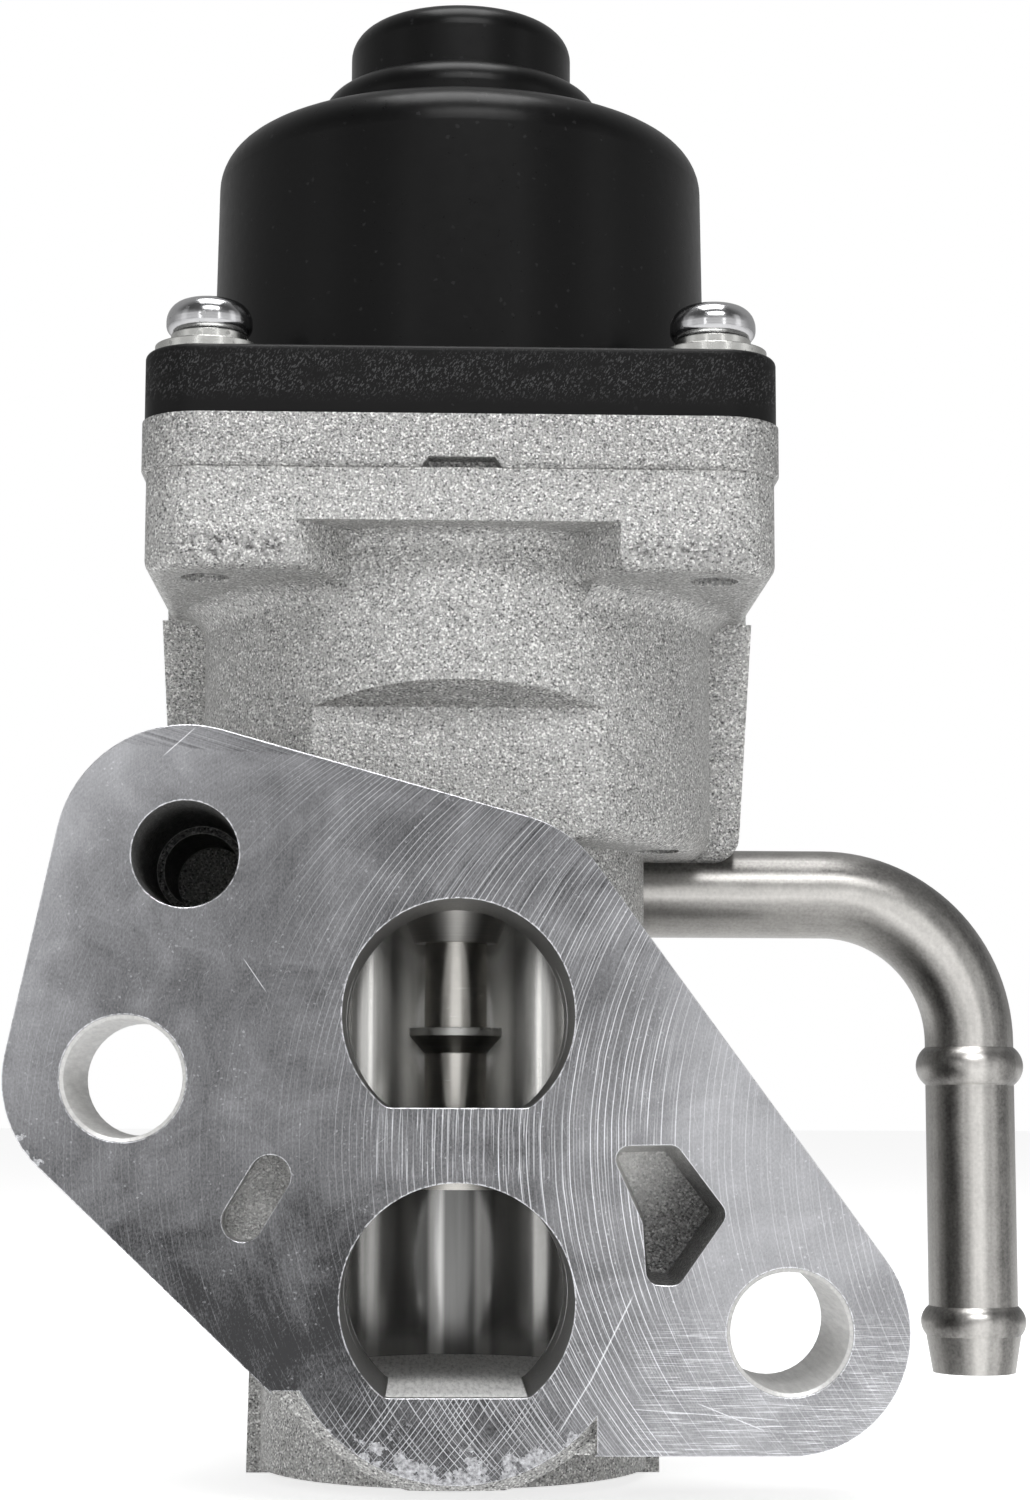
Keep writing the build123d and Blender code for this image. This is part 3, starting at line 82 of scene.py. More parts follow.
class Val:
    """A socket that arithmetic can be written on."""

    def __init__(self, tools, socket):
        self.tools, self.socket = tools, socket

    def op(self, kind, *others):
        return self.tools.calc(kind, self, *others)

    def __add__(self, other):
        return self.op("ADD", other)

    def __sub__(self, other):
        return self.op("SUBTRACT", other)

    def __rsub__(self, other):
        return self.tools.calc("SUBTRACT", other, self)

    def __mul__(self, other):
        return self.op("MULTIPLY", other)

    def __truediv__(self, other):
        return self.op("DIVIDE", other)

    __radd__ = __add__
    __rmul__ = __mul__

    def abs(self):
        return self.op("ABSOLUTE")

    def sqrt(self):
        return self.op("SQRT")

    def sin(self):
        return self.op("SINE")

    def fract(self):
        return self.op("FRACT")

    def floor(self):
        return self.op("FLOOR")

    def max(self, other):
        return self.op("MAXIMUM", other)

    def min(self, other):
        return self.op("MINIMUM", other)

    def above(self, low, high):
        """0 below low, 1 over high, smooth between."""
        node = self.tools.node("ShaderNodeMapRange", interpolation_type="SMOOTHSTEP")
        for name, value in (("Value", self), ("From Min", low), ("From Max", high)):
            self.tools.plug(node.inputs[name], value)
        return Val(self.tools, node.outputs["Result"])

    def below(self, low, high):
        """1 below low, 0 over high, smooth between."""
        return 1.0 - self.above(low, high)

    def band(self, low, high, soft):
        """1 between low and high, 0 outside, smooth within soft of each."""
        return self.above(low - soft, low + soft) * self.below(high - soft, high + soft)


class Tree:
    """Makes and joins nodes in a node tree, which it empties first."""

    def __init__(self, tree):
        tree.nodes.clear()
        self.tree = tree

    def node(self, kind, **settings):
        node = self.tree.nodes.new(kind)
        for key, value in settings.items():
            setattr(node, key, value)
        return node

    def plug(self, socket, value):
        """Links a Val or a socket, or sets a constant."""
        if isinstance(value, Val):
            value = value.socket
        if isinstance(value, bpy.types.NodeSocket):
            self.tree.links.new(value, socket)
        else:
            socket.default_value = value

    def plug_in_turn(self, node, values):
        for socket, value in zip(node.inputs, values):
            self.plug(socket, value)

    def calc(self, kind, *values):
        node = self.node("ShaderNodeMath", operation=kind)
        self.plug_in_turn(node, values)
        return Val(self, node.outputs[0])

    def split(self, vector):
        node = self.node("ShaderNodeSeparateXYZ")
        self.plug(node.inputs[0], vector)
        return [Val(self, part) for part in node.outputs]

    def join(self, x, y, z):
        node = self.node("ShaderNodeCombineXYZ")
        self.plug_in_turn(node, (x, y, z))
        return Val(self, node.outputs[0])

    def scaled(self, vector, scale):
        node = self.node("ShaderNodeVectorMath", operation="SCALE")
        self.plug(node.inputs[0], vector)
        self.plug(node.inputs["Scale"], scale)
        return Val(self, node.outputs["Vector"])

    def rays(self, *kinds):
        path = self.node("ShaderNodeLightPath")
        return [Val(self, path.outputs[kind]) for kind in kinds]


class Mat(Tree):
    """A material with one Principled shader; positions are the piece's own, in mm."""

    def __init__(self, name, **constants):
        self.data = bpy.data.materials.new(name)
        self.data.use_nodes = True
        super().__init__(self.data.node_tree)
        out = self.node("ShaderNodeOutputMaterial")
        self.shader = self.node("ShaderNodeBsdfPrincipled")
        self.plug(out.inputs["Surface"], self.shader.outputs[0])
        for key, value in constants.items():
            self.shader.inputs[key.replace("_", " ")].default_value = value
        self.at = self.scaled(self.node("ShaderNodeTexCoord").outputs["Object"], 1000.0)
        self.x, self.y, self.z = self.split(self.at)

    def from_axis(self):
        """Distance from the valve's upright axis."""
        y = self.y - AXIS_Y
        return (self.x * self.x + y * y).sqrt()

    def noise(self, at=None, scale=1.0, detail=2.0, rough=0.5, warp=0.0):
        """0 to 1, centred on 0.5; scale is features per mm. A plain number gives 1-D noise."""
        at = self.at if at is None else at
        flat = at.socket.type == "VALUE"
        node = self.node("ShaderNodeTexNoise", noise_dimensions="1D" if flat else "3D")
        self.plug(node.inputs["W" if flat else "Vector"], at)
        for name, value in (("Scale", scale), ("Detail", detail),
                            ("Roughness", rough), ("Distortion", warp)):
            node.inputs[name].default_value = value
        return Val(self, node.outputs[0])

    def voronoi(self, scale, output):
        node = self.node("ShaderNodeTexVoronoi")
        self.plug(node.inputs["Vector"], self.at)
        node.inputs["Scale"].default_value = scale
        return Val(self, node.outputs[output])

    def speckle(self, scale):
        """A random value for each cell of the pattern."""
        return self.split(self.voronoi(scale, "Color"))[0]

    def streaks(self, along, across, length, width, cover):
        """Short fine lines that run with `along`; a higher cover gives more of them."""
        stretched = self.join(along * (1.0 / length), across * (1.0 / width), 0.37)
        edge = 0.78 - 0.55 * cover
        return self.noise(stretched, 1.0, 2.0, 0.6).above(edge, edge + 0.08)

    def cuts(self, phase, along, width, strong):
        """Thin lines where the phase passes a whole number, each fading in and out on its way."""
        number = (phase + 0.5).floor()
        away = ((phase + 0.5).fract() - 0.5).abs()
        fade = self.noise(self.join(number * 5.3, along * 0.11, 0.7), 1.0, 1.0)
        return away.below(width * 0.4, width) * fade.above(0.62 - 0.34 * strong, 0.80 - 0.2 * strong)

    def line(self, a, b, width):
        """A scratch from a to b, x and z in mm, that thins out at its ends."""
        (ax, az), (bx, bz) = a, b
        length = math.hypot(bx - ax, bz - az)
        ux, uz = (bx - ax) / length, (bz - az) / length
        dx, dz = self.x - ax, self.z - az
        along = dx * ux + dz * uz
        off = (dx * uz - dz * ux).abs()
        return off.below(width * 0.3, width) * along.band(0.0, length, 0.5)

    def mix(self, factor, a, b):
        """Vector a at factor 0, vector b at factor 1."""
        node = self.node("ShaderNodeMix", data_type="VECTOR")
        for index, value in ((0, factor), (4, a), (5, b)):
            self.plug(node.inputs[index], value)
        return Val(self, node.outputs[1])

    def normal(self):
        return self.node("ShaderNodeNewGeometry").outputs["Normal"]

    def round_normal(self, radius):
        """The normal as if the piece's edges had this radius, in mm."""
        node = self.node("ShaderNodeBevel", samples=6)
        node.inputs["Radius"].default_value = radius * 0.001
        return Val(self, node.outputs[0])

    def edge(self, rounded):
        """1 on the rounded edges of the piece, 0 on its faces."""
        node = self.node("ShaderNodeVectorMath", operation="DOT_PRODUCT")
        self.plug_in_turn(node, (self.normal(), rounded))
        return (1.0 - Val(self, node.outputs["Value"])).above(0.004, 0.08)

    def finish(self, colour, rough, height, metal=None, normal=None):
        """Plugs the results into the shader; height is the bump's, in mm."""
        bump = self.node("ShaderNodeBump")
        bump.inputs["Strength"].default_value = 1.0
        bump.inputs["Distance"].default_value = 0.001
        self.plug(bump.inputs["Height"], height)
        if normal is not None:
            self.plug(bump.inputs["Normal"], normal)
        if metal is not None:
            self.plug(self.shader.inputs["Metallic"], metal)
        self.plug(self.shader.inputs["Base Color"], colour)
        self.plug(self.shader.inputs["Roughness"], rough)
        self.plug(self.shader.inputs["Normal"], bump.outputs[0])
        return self.data


def any_hole(m, places, radius):
    """1 within the radius of any of the places (x, z)."""
    inside = None
    for px, pz in places:
        dx, dz = m.x - px, m.z - pz
        here = (dx * dx + dz * dz).sqrt().below(radius, radius + 0.06)
        inside = here if inside is None else inside.max(here)
    return inside


def any_ring(m, places, radius):
    """1 along the rim of the round holes at any of the places (x, z)."""
    return any_hole(m, places, radius + 0.08) - any_hole(m, places, radius)


# adds painted reflections, upright light bands at x, to a grey
def with_painted_reflections(m, grey, bands, gain):
    for place, half, strength in bands:
        grey = grey + (m.x - place).abs().below(half * 0.6, half * 1.6) * (strength * gain)
    return grey


# ---------------------------------------------------------------- materials
def cast_grain(m):
    """Shot-blasted skin, fine dents over a slow unevenness, with painted glints: its mottle, roughness
    and height.
    """
    dents = m.noise(scale=5.2, detail=3.0, rough=0.60)
    slow = m.noise(scale=0.45, detail=2.0)
    glint_cells = m.speckle(6.2)
    mottle = (dents - 0.5) * 1.30 + (slow - 0.5) * 0.12
    # painted glints: a few cells made lighter; a few others made darker
    mottle = mottle + glint_cells.above(0.84, 0.88) * 0.34 - glint_cells.below(0.10, 0.14) * 0.22
    height = dents * 0.14 + m.voronoi(4.4, "Distance") * 0.04 + slow * 0.15
    return mottle, lerp(m.noise(scale=3.0), 0.34, 0.54), height


def cast_aluminium(name, level):
    m = Mat(name)
    mottle, rough, height = cast_grain(m)
    grey = (level + mottle).min(0.95).max(0.12)
    return m.finish(m.scaled(WARM_WHITE, grey), rough, height, metal=CAST_METAL,
                    normal=m.round_normal(0.18))


def cutter_marks(m, flat):
    """The cutter's path, "(" arcs over the right of the face, and darker ones near its top."""
    x, z = m.x, m.z
    reach = (CUTTER_R ** 2 - z * z).sqrt()
    wobble = m.noise(flat, 0.25, 1.0) * 0.30
    phase = (x + reach) / ARC_PITCH + wobble
    back_phase = (x - reach) / ARC_PITCH + wobble
    where = ((x + z * 0.25).above(-14.0, 6.0) * 0.90 + 0.10) * (1.0 - x.above(14.0, 20.0) * 0.70)
    arcs = m.cuts(phase, z, 0.10, 0.9) * where
    arcs = arcs.max(m.cuts(phase * 2.3 + 0.3, z, 0.24, 0.5) * where * 0.4)

    # low in the middle they cross with ")" arcs
    off_x, off_z = x + 1.3, z + 21.8
    low_middle = (off_x * off_x * 0.4 + off_z * off_z * 2.0).sqrt().below(3.0, 8.0)
    arcs = arcs.max(m.cuts(back_phase * 1.3, z, 0.13, 0.8) * low_middle)
    arcs = arcs.max(m.cuts(phase * 1.2 + 0.2, z, 0.13, 0.8) * low_middle)
    dark = m.cuts(phase * 0.83 + 0.3, z, 0.20, 0.6) * z.above(10.0, 16.0) * x.above(-12.0, -2.0)
    return arcs, dark


def scratches(m):
    """Level ones at the lower right, slanting ones all over, and the long ones."""
    x, z = m.x, m.z
    marks = m.streaks(x, z, 3.2, 0.05, 0.42) * z.below(-16.0, -12.0) * x.above(12.0, 18.0)
    marks = marks.max(m.streaks(x * 0.8 + z * 0.6, z * 0.8 - x * 0.6, 1.8, 0.05, 0.16) * 0.5)
    marks = marks.max(m.streaks(x * 0.3 - z * 0.95, x * 0.95 + z * 0.3, 2.2, 0.045, 0.18) * 0.5)
    for start, end, width in SCRATCHES:
        marks = marks.max(m.line(start, end, width))
    return marks


def milled_face(m, edge):
    """The flange face: a slow shade of painted light and shade with some real staining, the cutter's
    arcs, hatch, scratches and a burred rim.
    """
    x, z = m.x, m.z
    flat = m.join(x, 0.0, z)
    swirl = m.noise(flat, 0.16, 5.0, 0.62, 0.8)
    fine = m.noise(m.join(x * 7.0, 0.0, z * 4.0), 1.0, 2.0, 0.6)

    # painted light and shade for the face's uneven reflections, with some real staining: paler at the
    # upper left, at the far left and to the right, and darker low down
    shade = (z - x * 0.7).above(34.0, 56.0) * 0.24
    shade = shade + x.above(4.0, 24.0) * 0.14 + x.above(12.0, 20.0) * 0.10
    shade = shade + x.below(-34.0, -27.0) * z.above(-2.0, 6.0) * 0.08
    shade = shade - z.below(-18.0, 0.0) * x.below(-10.0, 2.0) * 0.07
    shade = shade - z.below(-14.0, 6.0) * x.below(2.0, 14.0) * 0.08
    shade = shade - x.above(12.0, 20.0) * z.below(-12.0, -6.0) * 0.07
    grey = FACE_LEVEL + shade + (swirl - 0.5) * 0.34 + (fine - 0.5) * 0.26

    arcs, dark_arcs = cutter_marks(m, flat)
    between_ports = x.abs().below(6.0, 9.0) * z.band(-2.6, 2.6, 0.6)
    web_cuts = m.cuts(x / 0.40, z * 3.0, 0.13, 0.7) * between_ports

    # upright hatch everywhere but the strip at the top left, which was cut along the sloping edge
    strip = (z + x * 0.06).above(30.1, 30.25) * x.below(-6.0, -2.0)
    upright = m.noise(m.join(x * 3.2, 0.0, z * 0.10), 1.0, 3.0, 0.65)
    sloping = m.noise(z + x * 0.30, 3.6, 2.0, 0.6)

    scratch = scratches(m)
    speck = m.speckle(7.0).above(0.975, 0.99) * m.noise(flat, 0.30, 2.0).above(0.45, 0.6)
    grey = grey + (upright - 0.5) * (1.0 - strip) * 0.07
    grey = grey + (sloping - 0.5) * strip * 0.40 - strip * 0.04
    grey = grey + arcs * lerp(z.above(6.0, 14.0), 0.56, 0.38) + web_cuts * 0.36 - dark_arcs * 0.08
    grey = grey + scratch * 0.46 + speck * 0.16

    # along the bottom the cutter ran out and the ragged skin of the casting is left
    ragged = m.noise(flat, 0.55, 4.0, 0.65)
    over_skin = z + 25.0 - x * x * 0.021 + (x - 9.0).max(0.0) * 1.2 - (ragged - 0.5) * 15.0
    left_cast = over_skin.below(-0.15, 0.15)
    skin = m.noise(scale=2.6, detail=3.0, rough=0.7)
    grey = lerp(left_cast, grey, 0.46 + (skin - 0.5) * 1.6)

    # burrs along the outline and the holes, broken here and there
    broken = m.noise(scale=2.2, detail=3.0, rough=0.7)
    rims = any_ring(m, BOLTS, BOLT_MOUTH_R).max(any_ring(m, [COOLANT], COOLANT_R)) * 0.5
    for px, pz in PORTS:
        round_part = z.above(pz - PORT_FLAT, pz - PORT_FLAT + 0.5)
        rims = rims.max(any_ring(m, [(px, pz)], PORT_R) * round_part * 0.6)
    burr = edge * broken.above(0.34, 0.52) + rims * broken.above(0.44, 0.60)
    grey = (grey + burr * 0.7).min(0.93).max(0.05)

    height = arcs * 0.008 + web_cuts * 0.008 + upright * 0.004 + sloping * strip * 0.006
    height = height - scratch * 0.008 + left_cast * (skin * 0.16 - 0.05)
    rough = lerp(swirl, 0.24, 0.36) + scratch * 0.1 + left_cast * 0.15 + arcs * 0.12
    return grey, rough, height


def cast_skin(m, edge, inside, mottle):
    """The body's skin: stained under the head, with painted shade in the slot and painted light and shade
    in the five-sided pocket.
    """
    x, y, z = m.x, m.y, m.z
    stain = z.band(47.2, 49.2, 0.8) * y.below(8.0, 9.0) * x.abs().band(14.0, 23.0, 1.5)
    stain = stain * m.noise(scale=2.6, detail=4.0, rough=0.7).above(0.46, 0.60)
    slot = x.band(-19.6, -12.4, 0.2) * z.band(-8.2, 0.0, 0.2) * inside * y.below(3.6, 3.8)
    pocket = x.band(11.0, 22.0, 0.5) * z.band(-11.5, 0.5, 0.2) * inside * y.below(7.1, 7.3)
    # painted shade in the slot; painted light at the pocket's upper left and painted shade towards its
    # lower right
    to_lower_right = (x * 0.8 - z * 0.5 - 14.0).above(-4.0, 4.0)
    painted_recess_light_and_shade = slot * 0.02 + pocket * lerp(to_lower_right, -0.48, 0.26)
    mottle = mottle * (1.0 - slot.max(pocket) * 0.5)
    return (BODY_LEVEL + mottle + edge * 0.05 - stain * 0.34 - painted_recess_light_and_shade).min(0.95).max(0.08)


def bore_wall(m, upright):
    """The bored walls, with painted reflections as upright light bands, and a painted dark reflection in
    the middle of the lower one.
    """
    upper = with_painted_reflections(m, 0.80 + (upright - 0.5) * 0.20, UPPER_PAINTED_REFLECTIONS, 0.4)
    # painted dark reflection: the lower bore darker in its middle
    middle = (m.x - 0.5).abs().below(2.0, 4.5)
    lower = with_painted_reflections(m, 0.46 - middle * 0.28 + (upright - 0.5) * 0.16, LOWER_PAINTED_REFLECTIONS, 0.75)
    return lerp(m.z.above(-3.0, -1.0), lower, upper).min(0.97).max(0.03)


def valve_body():
    """One casting: shot-blasted skin, a milled flange face, and bored ports and holes."""
    m = Mat("cast_and_milled_aluminium")
    x, y, z = m.x, m.y, m.z
    rounded = m.round_normal(0.16)
    edge = m.edge(rounded)

    # where each finish lies
    face = y.below(0.02, 0.07)
    inside = 1.0 - face
    port = any_hole(m, PORTS, PORT_R + 0.1) * y.below(PORT_DEPTH, PORT_DEPTH + 0.4) * inside
    port = port * z.above(PORT_FLOOR + 0.05, PORT_FLOOR + 0.10)
    bolts = any_hole(m, BOLTS, BOLT_MOUTH_R + 0.06) * inside
    bolts = bolts * y.below(BOLT_DEPTH, BOLT_DEPTH + 0.05)
    coolant = any_hole(m, [COOLANT], COOLANT_R + 0.1) * inside
    coolant = coolant * y.below(COOLANT_DEPTH, COOLANT_DEPTH + 0.2)
    axis_r = m.from_axis()
    bore = axis_r.below(BORE_R, BORE_R + 0.1) * z.below(BORE_TOP, BORE_TOP + 0.2)
    bore = bore * z.above(PORT_FLOOR + 0.02, PORT_FLOOR + 0.08)
    floor = z.band(PORT_FLOOR - 0.10, PORT_FLOOR + 0.07, 0.02) * y.above(1.0, 1.2)
    floor = floor * axis_r.below(16.3, 16.5).max(y.below(11.0, 11.2)) * x.abs().below(12.2, 12.4)

    mottle, cast_rough, cast_height = cast_grain(m)
    face_grey, face_rough, face_height = milled_face(m, edge)
    upright = m.noise(m.join(x * 1.1, y * 1.1, z * 0.04), 1.0, 2.0)
    turns = m.noise(y, 4.2, 3.0, 0.6)
    grain = m.noise(scale=4.0, detail=2.0)
    lengthwise = m.noise(m.join(x * 3.0, y * 0.25, z * 3.0), 1.0, 3.0, 0.6)
    pebbles = m.noise(m.join(x * 2.8, y * 0.32, 0.0), 1.0, 3.0, 0.7)

    port_grey = 0.36 + (turns - 0.5) * 0.06 + (grain - 0.5) * 0.40 + edge * 0.35
    # painted light: the lower port's cast floor much paler than the rest of the skin
    floor_grey_painted_light = (0.88 + (pebbles - 0.5) * 1.3).min(0.97)
    bolt_grey = 0.78 + (turns - 0.5) * 0.16 + (lengthwise - 0.5) * 0.50
    # painted shade: the coolant hole darker the deeper in it goes
    coolant_grey_painted_deep_shade = lerp(y.above(2.0, 9.0), 0.30, 0.10) + mottle * 0.4 + edge * 0.4

    # the finishes over the cast skin; the floor's height tilts its shading towards the front
    grey, rough, height = cast_skin(m, edge, inside, mottle), cast_rough, cast_height
    for where, its_grey, its_rough, its_height in (
            (bore, bore_wall(m, upright), 0.14, upright * 0.006),
            (port, port_grey, 0.42, grain * 0.03),
            (floor, floor_grey_painted_light, 0.6, y * 0.9 + cast_height),
            (bolts, bolt_grey, 0.40, turns * 0.012),
            (coolant, coolant_grey_painted_deep_shade, 0.45, cast_height * 0.8),
            (face, face_grey, face_rough, face_height)):
        grey = lerp(where, grey, its_grey)
        rough = lerp(where, rough, its_rough)
        height = lerp(where, height, its_height)
    metal = lerp(face.max(port), 0.66, 0.95) + bore * 0.24 - floor * 0.60 - bolts * 0.30
    tint = m.mix(face, WARM_WHITE, COOL_WHITE)
    return m.finish(m.scaled(tint, grey), rough, height, metal=metal, normal=rounded)


def black_moulding():
    """A satin dome, and a duller flange with a worn band."""
    m = Mat("black_moulding", Metallic=0.0, Specular_IOR_Level=0.14)
    x, y, z = m.x, m.y, m.z
    flange = z.below(MOTOR_FLANGE_TOP, MOTOR_FLANGE_TOP + 0.2)
    peel = m.noise(scale=0.9, detail=2.0)
    fine = m.noise(scale=6.0, detail=2.0, rough=0.6)
    rubbed = m.noise(m.join(x * 0.22, y * 0.22, z * 0.5), 1.0, 3.0, 0.6).above(0.30, 0.52)
    worn = rubbed * flange * z.band(60.8, 64.4, 0.9)
    fibre = m.streaks(x * 0.5 + z * 0.87, z * 0.5 - x * 0.87, 0.26, 0.12, 0.42)
    fleck = m.speckle(4.0).above(0.992, 0.998)
    grey = 0.004 + flange * 0.001 + worn * fibre * 0.060 + fleck * 0.012
    rough = lerp(flange, 0.27 + (peel - 0.5) * 0.10, 0.36) + worn * 0.16 + fine * 0.06
    height = peel * 0.010 + fine * 0.0016 + flange * fine * 0.006
    return m.finish(m.scaled((1.0, 1.0, 1.02), grey), rough, height, normal=m.round_normal(0.15))


def drawn_pipe():
    """Drawn steel: lines along the pipe, painted reflections as light and dark bands by the way that it
    faces, and a painted shadow where it goes into the body.
    """
    m = Mat("drawn_steel_pipe", Metallic=1.0)
    level = m.x.below(36.0, 44.0)              # 1 on the level run, 0 on the hanging leg
    run = m.noise(m.join(m.x * 0.12, m.y * 2.6, m.z * 2.6), 1.0, 3.0, 0.6)
    drop = m.noise(m.join(m.x * 2.6, m.y * 2.6, m.z * 0.12), 1.0, 3.0, 0.6)
    lines = lerp(level, drop, run)
    cloud = m.noise(scale=0.35, detail=3.0)
    grit = m.noise(scale=3.6, detail=2.0)
    root_painted_shadow = m.x.below(PIPE_ROOT_X, PIPE_ROOT_X + 1.2)
    facing = m.split(m.normal())
    outer = lerp(level, facing[0], facing[2])  # 1 on the outside of the bend, -1 on its inside
    # painted reflections: light and dark bands by the way the surface faces
    bands = outer.band(-0.20, 0.10, 0.10) * 0.24 - outer.band(0.40, 0.74, 0.10) * 0.18
    bands = bands - outer.band(-0.76, -0.42, 0.10) * (1.0 - level) * 0.16
    # painted shadow darkens the pipe where it goes into the body
    grey = PIPE_LEVEL - root_painted_shadow * 0.16 + bands + (lines - 0.5) * 0.12
    grey = grey + (cloud - 0.5) * 0.14 + (grit - 0.5) * 0.20
    rough = 0.34 + (cloud - 0.5) * 0.14 + (grit - 0.5) * 0.06
    return m.finish(m.scaled(STEEL_WHITE, grey), rough, lines * 0.006 + grit * 0.002,
                    normal=m.round_normal(0.12))


def turned(name, colour, rough, fine=4.5, mark=0.14):
    """Turned or ground about the valve's axis: fine rings, with soft clouding."""
    m = Mat(name, Metallic=1.0)
    rings = m.noise(m.z + m.from_axis(), fine, 3.0, 0.65)
    cloud = m.noise(scale=0.6, detail=3.0)
    value = 1.0 + (rings - 0.5) * mark * 2.0 + (cloud - 0.5) * 0.24
    rough = rough + (cloud - 0.5) * 0.12 + (rings - 0.5) * 0.06
    return m.finish(m.scaled(colour, value), rough, rings * 0.0012, normal=m.round_normal(0.10))


def plated(name, colour, rough):
    """Plated metal or bright wire: clouding, fine grit and a few nicks."""
    m = Mat(name, Metallic=1.0)
    cloud = m.noise(scale=0.9, detail=4.0, rough=0.6)
    grit = m.noise(scale=7.0, detail=2.0)
    nick = m.speckle(3.0).above(0.96, 0.99)
    value = 1.0 + (cloud - 0.5) * 0.30 - nick * 0.25
    rough = rough + (cloud - 0.5) * 0.12 + nick * 0.2
    return m.finish(m.scaled(colour, value), rough, cloud * 0.012 + grit * 0.0015,
                    normal=m.round_normal(0.12))


def moulded(name, colour, rough, grain=0.004):
    """Plastic, rubber or pressed powder: flow clouding and a fine grain."""
    m = Mat(name, Metallic=0.0)
    fine = m.noise(scale=5.0, detail=3.0)
    flow = m.noise(m.join(m.x * 0.5, m.y * 0.5, m.z * 1.6), 1.0, 3.0, 0.6)
    value = 1.0 + (flow - 0.5) * 0.22 + (fine - 0.5) * 0.10
    return m.finish(m.scaled(colour, value), rough + (fine - 0.5) * 0.12, fine * grain,
                    normal=m.round_normal(0.08))


def winding():
    """Enamelled wire in layers."""
    m = Mat("enamelled_copper", Metallic=0.8)
    per_mm = 14.0
    wires = (m.z * per_mm).sin() * (m.from_axis() * per_mm).sin()
    value = 0.86 + wires * 0.16 + (m.noise(scale=1.2) - 0.5) * 0.2
    return m.finish(m.scaled((0.72, 0.30, 0.12), value), 0.34 - wires * 0.05, wires * 0.05)


def dress():
    """Gives every CAD piece its material."""
    zinc = plated("bright_zinc", (0.54, 0.54, 0.55), 0.16)
    washer_zinc = plated("washer_zinc", (0.56, 0.56, 0.54), 0.26)
    steel = turned("ground_steel", (0.72, 0.70, 0.66), 0.24, mark=0.05)
    dark_steel = turned("turned_steel", (0.60, 0.59, 0.57), 0.36)
    seat = turned("seat_steel", (0.58, 0.57, 0.55), 0.24)
    light_alloy = turned("turned_aluminium", (0.72, 0.72, 0.71), 0.28)
    pressed = turned("pressed_steel", (0.60, 0.60, 0.58), 0.30, fine=1.2)
    wire = plated("spring_wire", (0.46, 0.46, 0.47), 0.28)
    race = turned("bearing_steel", (0.76, 0.76, 0.77), 0.12, fine=6.0, mark=0.05)
    rubber = moulded("seal_rubber", (0.030, 0.030, 0.032), 0.62)
    natural = moulded("natural_plastic", (0.78, 0.76, 0.68), 0.42)
    amber = moulded("cage_plastic", (0.42, 0.24, 0.09), 0.38)
    charcoal = moulded("charcoal_plastic", (0.060, 0.060, 0.066), 0.40)
    ferrite = moulded("pressed_ferrite", (0.085, 0.085, 0.090), 0.50, grain=0.012)
    brass = turned("turned_brass", (0.80, 0.62, 0.28), 0.24)
    bronze = turned("sintered_bronze", (0.52, 0.36, 0.20), 0.46, fine=2.0)
    tin = plated("tinned_brass", (0.78, 0.77, 0.73), 0.24)
    copper = winding()
    materials = {
        "valve_body": valve_body(), "spacer_plate": cast_aluminium("die_cast_plate", PLATE_LEVEL),
        "motor_housing": black_moulding(), "coolant_pipe": drawn_pipe(),
        "motor_screws": zinc, "spring_washers": washer_zinc, "flat_washers": washer_zinc,
        "valve_seat": seat, "guide_carrier": light_alloy, "stem_guide_bush": dark_steel,
        "stem_seal": rubber, "valve_head": steel, "valve_stem": steel, "stem_shield": pressed,
        "spring_retainer": pressed, "retainer_clip": pressed, "return_spring": wire,
        "housing_seal": rubber, "connector_terminals": tin, "shaft_guide": natural,
        "motor_shaft": steel, "bearing_outer_race": race, "bearing_inner_race": race,
        "bearing_balls": race, "bearing_cage": amber, "rotor_hub": charcoal, "rotor_nut": brass,
        "rotor_magnet": ferrite, "upper_bush": bronze, "lower_stator_cup": pressed,
        "upper_stator_cup": pressed, "lower_pole_plate": pressed, "upper_pole_plate": pressed,
        "lower_bobbin": natural, "upper_bobbin": natural, "lower_coil": copper, "upper_coil": copper,
    }
    for name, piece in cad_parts.items():
        piece.data.materials.clear()
        piece.data.materials.append(materials[name])


# ---------------------------------------------------------------- the studio, in metres
FLOOR_Z = cad_box[0][2]
FLOOR_HALF = 3.0
CENTRE = (0.0, 0.02, 0.035)           # what the lamps aim at
LAMPS = [                             # name, place, width and height, watts
    ("top_softbox", (0.0, -0.03, 0.50), (0.28, 0.24), 1.50),
    ("front_softbox", (0.05, -0.40, 0.42), (0.34, 0.15), 1.30),
    ("left_strip", (-0.42, -0.16, 0.10), (0.12, 0.50), 0.05),
    ("right_strip", (0.42, -0.16, 0.10), (0.12, 0.50), 0.10),
    ("front_left_strip", (-0.20, -0.46, 0.02), (0.035, 0.50), 0.14),
    ("front_right_strip", (0.24, -0.46, 0.02), (0.035, 0.50), 0.16),
]
CAMERA_AT = (-0.0023073, -0.2245094, 0.0034936)
CAMERA_TURN = (97.1100332, -0.17464662, -1.73378441)      # degrees
CAMERA_LENS = 67.581                                      # mm, on a sensor 36 mm wide


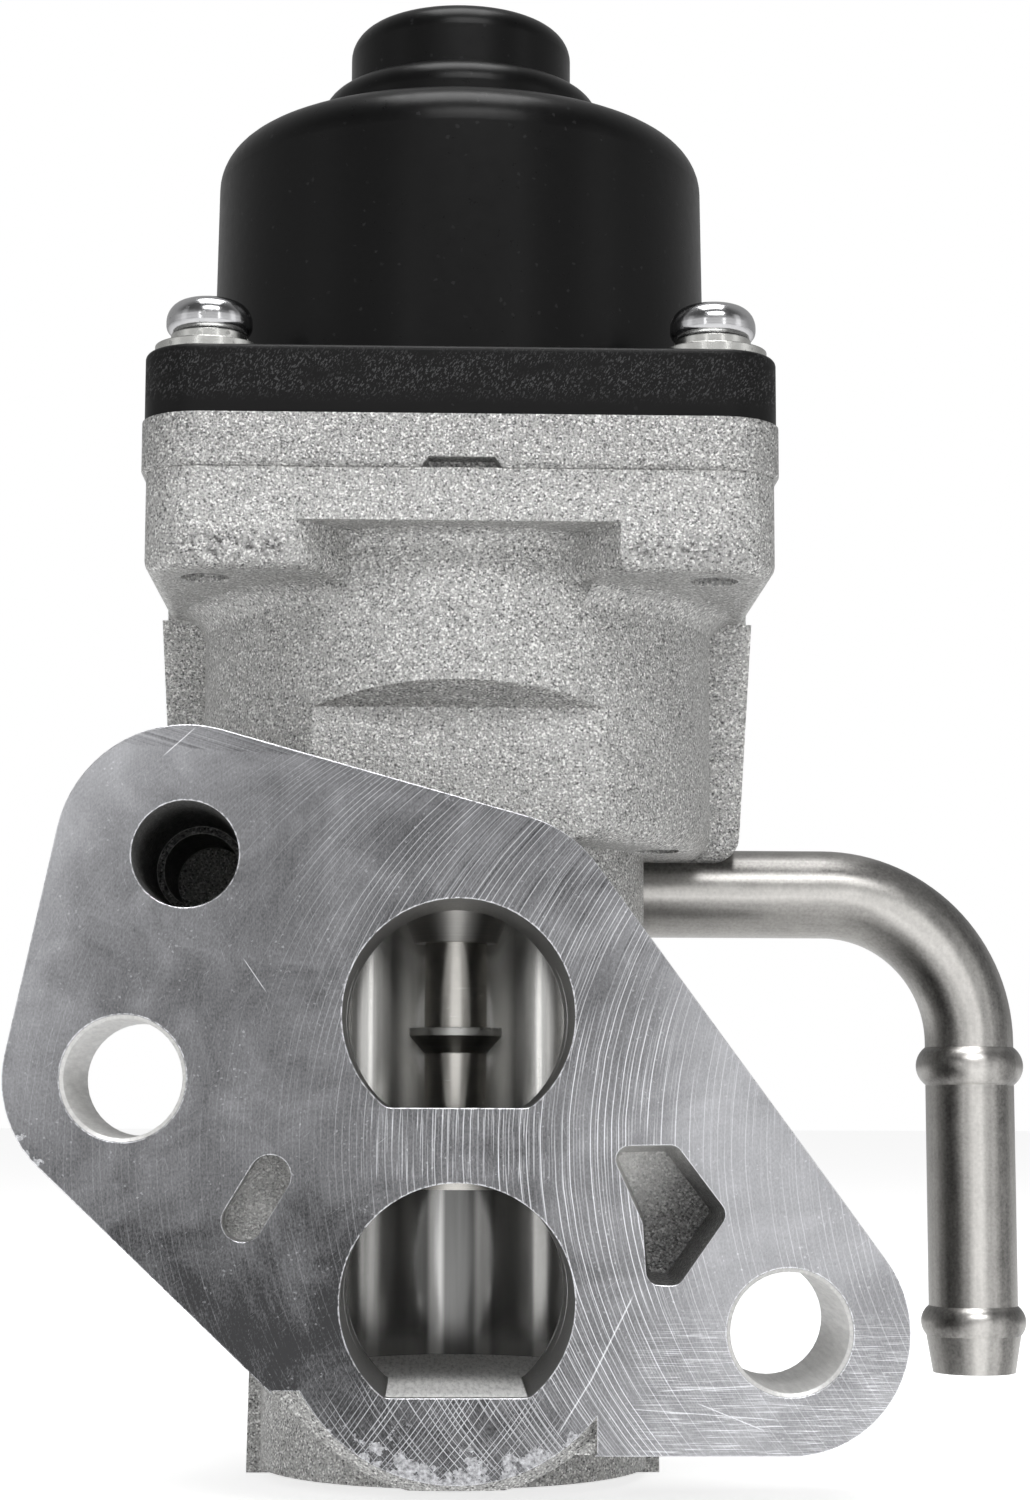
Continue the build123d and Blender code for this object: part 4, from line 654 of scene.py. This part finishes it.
def floor_material():
    """Pale and diffuse. Where the camera or glass sees it, it glows as well, so that it comes out
    white and still holds the shadow; a reflection sees 0.6 of that glow."""
    material = bpy.data.materials.new("pale_floor")
    material.use_nodes = True
    tree = Tree(material.node_tree)
    plain = tree.node("ShaderNodeBsdfDiffuse")
    plain.inputs["Color"].default_value = (0.80, 0.80, 0.80, 1.0)
    glow = tree.node("ShaderNodeEmission")
    glow.inputs["Strength"].default_value = 0.68
    both = tree.node("ShaderNodeAddShader")
    tree.plug_in_turn(both, (plain.outputs[0], glow.outputs[0]))
    camera_ray, through, glossy = tree.rays("Is Camera Ray", "Is Transmission Ray", "Is Glossy Ray")
    seen = camera_ray.max(through).max(glossy * 0.6)
    mix = tree.node("ShaderNodeMixShader")
    tree.plug_in_turn(mix, (seen, plain.outputs[0], both.outputs[0]))
    tree.plug(tree.node("ShaderNodeOutputMaterial").inputs["Surface"], mix.outputs[0])
    return material


def studio_floor():
    corners = [(x * FLOOR_HALF, y * FLOOR_HALF, FLOOR_Z) for x, y in ((-1, -1), (1, -1), (1, 1), (-1, 1))]
    mesh = bpy.data.meshes.new("studio_floor")
    mesh.from_pydata(corners, [], [(0, 1, 2, 3)])
    mesh.materials.append(floor_material())
    obj = bpy.data.objects.new("studio_floor", mesh)
    scene.collection.objects.link(obj)


def studio_world():
    """White to the camera. As light it is bright low in front, dim high in front, even behind."""
    world = bpy.data.worlds.new("studio")
    world.use_nodes = True
    tree = Tree(world.node_tree)
    direction = tree.split(tree.node("ShaderNodeTexCoord").outputs["Generated"])
    behind = direction[1].above(-0.35, 0.35)
    front = 0.10 + direction[2].below(0.20, 0.55) * 0.78
    camera_ray, through = tree.rays("Is Camera Ray", "Is Transmission Ray")
    strength = lerp(camera_ray.max(through), lerp(behind, front, 0.42), 1.0)
    background = tree.node("ShaderNodeBackground")
    background.inputs["Color"].default_value = (1.0, 1.0, 1.0, 1.0)
    tree.plug(background.inputs["Strength"], strength)
    tree.plug(tree.node("ShaderNodeOutputWorld").inputs["Surface"], background.outputs[0])
    scene.world = world


def lamp(name, at, size, power):
    data = bpy.data.lights.new(name, "AREA")
    data.shape = "RECTANGLE"
    data.size, data.size_y = size
    data.energy = power
    obj = bpy.data.objects.new(name, data)
    obj.location = at
    obj.rotation_euler = (Vector(CENTRE) - Vector(at)).to_track_quat("-Z", "Y").to_euler()
    obj.visible_camera = False
    scene.collection.objects.link(obj)


def camera():
    data = bpy.data.cameras.new("camera")
    data.sensor_width = 36.0
    data.lens = CAMERA_LENS
    data.clip_start = 0.005
    obj = bpy.data.objects.new("camera", data)
    obj.location = CAMERA_AT
    obj.rotation_euler = Euler([math.radians(angle) for angle in CAMERA_TURN], "XYZ")
    scene.collection.objects.link(obj)
    scene.camera = obj


dress()
studio_floor()
studio_world()
for row in LAMPS:
    lamp(*row)
camera()

scene.view_settings.view_transform = "Standard"
